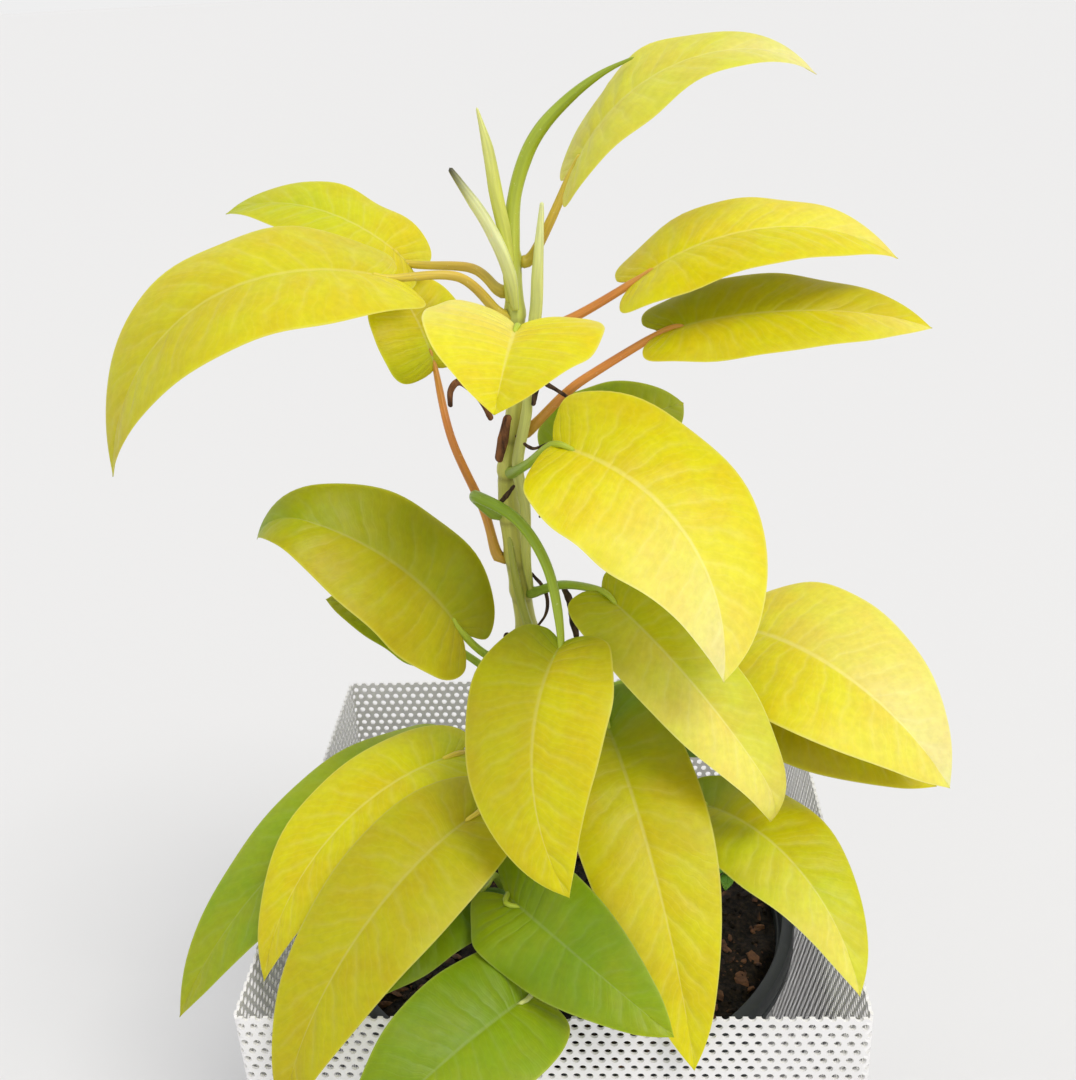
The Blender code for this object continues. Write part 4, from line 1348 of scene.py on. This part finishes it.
HORNS = (
    Horn("new_leaf_rolled",
         ((-8, -2, 492), (-7, -3, 512), (-5, -1, 531), (0, 0, 546), (7, 0, 557), (18, 0, 567), (29, 0, 574),
          (41, 0, 579)),
         (2.4, 3.4, 3.2, 2.6, 2.7, 2.5, 2.0, 1.3, 0.5), HornShape.ROLLED, STALK, "new_growth",
         ("#c6cc58", "#b8c244", "#a4b432", "#93a628", "#8ea024")),
    Horn("new_leaf_spear", ((-7, -6, 508), (-9, -6, 522), (-11, -6, 534), (-13, -5, 550), (-16, -5, 565)),
         (1.6, 2.6, 2.6, 2.1, 0.5),
         HornShape.ROLLED, STALK, "new_growth", ("#c2c850", "#ccd066", "#d6d98a")),
    Horn("sheath_left", ((-6, -5, 490), (-7, -8, 506), (-14, -10, 525), (-27, -9, 545)),
         (1.4, 2.6, 2.6, 2.2, 0.8),
         HornShape.KEELED, STALK, "new_growth", ("#c6ca58", "#d6da84", "#e0e4ac", "#d8dca0", "#3c3a28")),
    Horn("sheath_right", ((-3, -4, 474), (2, -6, 488), (4, -7, 508), (6, -6, 531)),
         (1.4, 2.6, 2.5, 1.8, 0.6), HornShape.KEELED, STALK, "new_growth", ("#c6ca58", "#d4d880", "#dde2a4")),
    Horn("sheath_middle", ((-16, -10, 430), (-13, -11, 440), (-11, -10, 450)), (1.6, 2.4, 1.4),
         HornShape.KEELED, DRY_SHEATH, "dry_sheath"),
    Horn("dried_sheath", ((-34, -8, 453), (-33, -8, 460), (-29, -8, 463), (-22, -8, 456), (-18, -8, 447)),
         (0.9, 1.4, 1.6, 1.5, 1.0), HornShape.KEELED, DRY_SHEATH, "dry_sheath"),
    Horn("aerial_root_1", ((-1, -12, 454), (2, -14, 464), (7, -14, 462), (14, -14, 457)),
         (0.9, 1.2, 0.9, 0.6), HornShape.ROUND, ROOT_BARK, "root"),
    Horn("aerial_root_2", ((-3, -11, 424), (2, -12, 416), (3, -12, 410), (-1, -12, 406)),
         (0.9, 1.0, 0.9, 0.5), HornShape.ROUND, ROOT_BARK, "root"),
    Horn("aerial_root_3", ((-17, -11, 412), (-14, -13, 416), (-10, -13, 421)), (0.8, 1.1, 0.6),
         HornShape.ROUND, ROOT_BARK, "root"),
    Horn("strand_upper",
         ((-3, -6, 470), (-3, -9, 452), (-8, -9, 428), (-6, -9, 409), (-7, -8, 384), (-6, -6, 366)),
         (1.2, 2.3, 2.5, 2.3, 2.1, 1.0), HornShape.KEELED, STALK, "stem",
         ("#c2c866", "#cfd27c", "#b6bc54"), False),
    Horn("strand_lower", ((-14, -6, 396), (-12, -9, 378), (-8, -9, 356), (-1, -8, 332), (2, -6, 316)),
         (1.0, 1.9, 2.1, 2.0, 0.9), HornShape.KEELED, STALK, "stem",
         ("#b0b650", "#a8ae48", "#9ba13e"), False),
    Horn("root_stub", ((6, -3, 372), (10, -3, 362), (11, -2, 352), (12, -1, 343)), (0.8, 1.7, 1.9, 1.2),
         HornShape.ROUND, ROOT_BARK, "root", (), False),
    Horn("root_thread_1", ((-9, -7, 440), (-2, -14, 437), (6, -17, 440), (11, -18, 436)),
         (0.6, 0.7, 0.5, 0.3), HornShape.ROUND, ROOT_BARK, "root", (), False),
    Horn("root_thread_2", ((-8, -8, 418), (0, -15, 418), (7, -17, 413), (8, -16, 404)),
         (0.6, 0.8, 0.6, 0.3), HornShape.ROUND, ROOT_BARK, "root", (), False),
    Horn("root_thread_3", ((-6, -6, 378), (0, -10, 371), (0, -12, 362), (-5, -12, 354)),
         (0.6, 0.9, 0.7, 0.4), HornShape.ROUND, ROOT_BARK, "root", (), False),
    Horn("aerial_root_4", ((-18, -11, 352), (-15, -14, 346), (-12, -14, 341)), (1.4, 2.2, 1.2),
         HornShape.ROUND, ROOT_BARK, "root"),
)


def leaflet(base: tuple, tip: tuple, width: float) -> Leaf:
    """Return one small leaf of a seedling."""
    return Leaf("leaflet", base, tip, (-90, 70), width, 1.0, "", 0, 0,
                tone("#4f8a2e", "#67a03a", "#7fb04a"), StalkTone.GREEN, wave=0.3, lobe=0.02)


SEEDLINGS = (
    Seedling(Horn("seedling_right", ((80, 18, 186), (80, 18, 196), (82, 17, 204)), (0.7, 0.8, 0.5),
                  HornShape.ROUND, STALK, "seedling"),
             (leaflet((83, 15, 204), (91, 9, 205), 7), leaflet((80, 15, 203), (71, 9, 204), 7),
              leaflet((82, 18, 205), (84, 27, 207), 6), leaflet((81, 12, 200), (79, 2, 199), 7))),
    Seedling(Horn("seedling_left", ((-48, 60, 188), (-48, 60, 198), (-50, 60, 206)), (0.7, 0.8, 0.5),
                  HornShape.ROUND, STALK, "seedling"),
             (leaflet((-48, 58, 206), (-40, 53, 207), 7), leaflet((-52, 58, 205), (-60, 53, 206), 7),
              leaflet((-50, 57, 203), (-49, 47, 202), 7))),
)


def main() -> None:
    """Make every piece, in order from the studio to the planter."""
    logging.basicConfig(level=logging.INFO, format="%(name)s: %(message)s")
    Studio().build()
    shoots = {shoot.name: shoot for shoot in SHOOTS}
    for grown in (*SHOOTS, *HORNS, *SEEDLINGS):
        grown.build()
    for leaf in LEAVES:
        leaf.build(shoots)
    mix = PottingMix()
    mix.build_ground()
    mix.build_litter()
    NurseryPot().build()
    PerforatedPlanter().build()


if __name__ == "__main__":
    main()
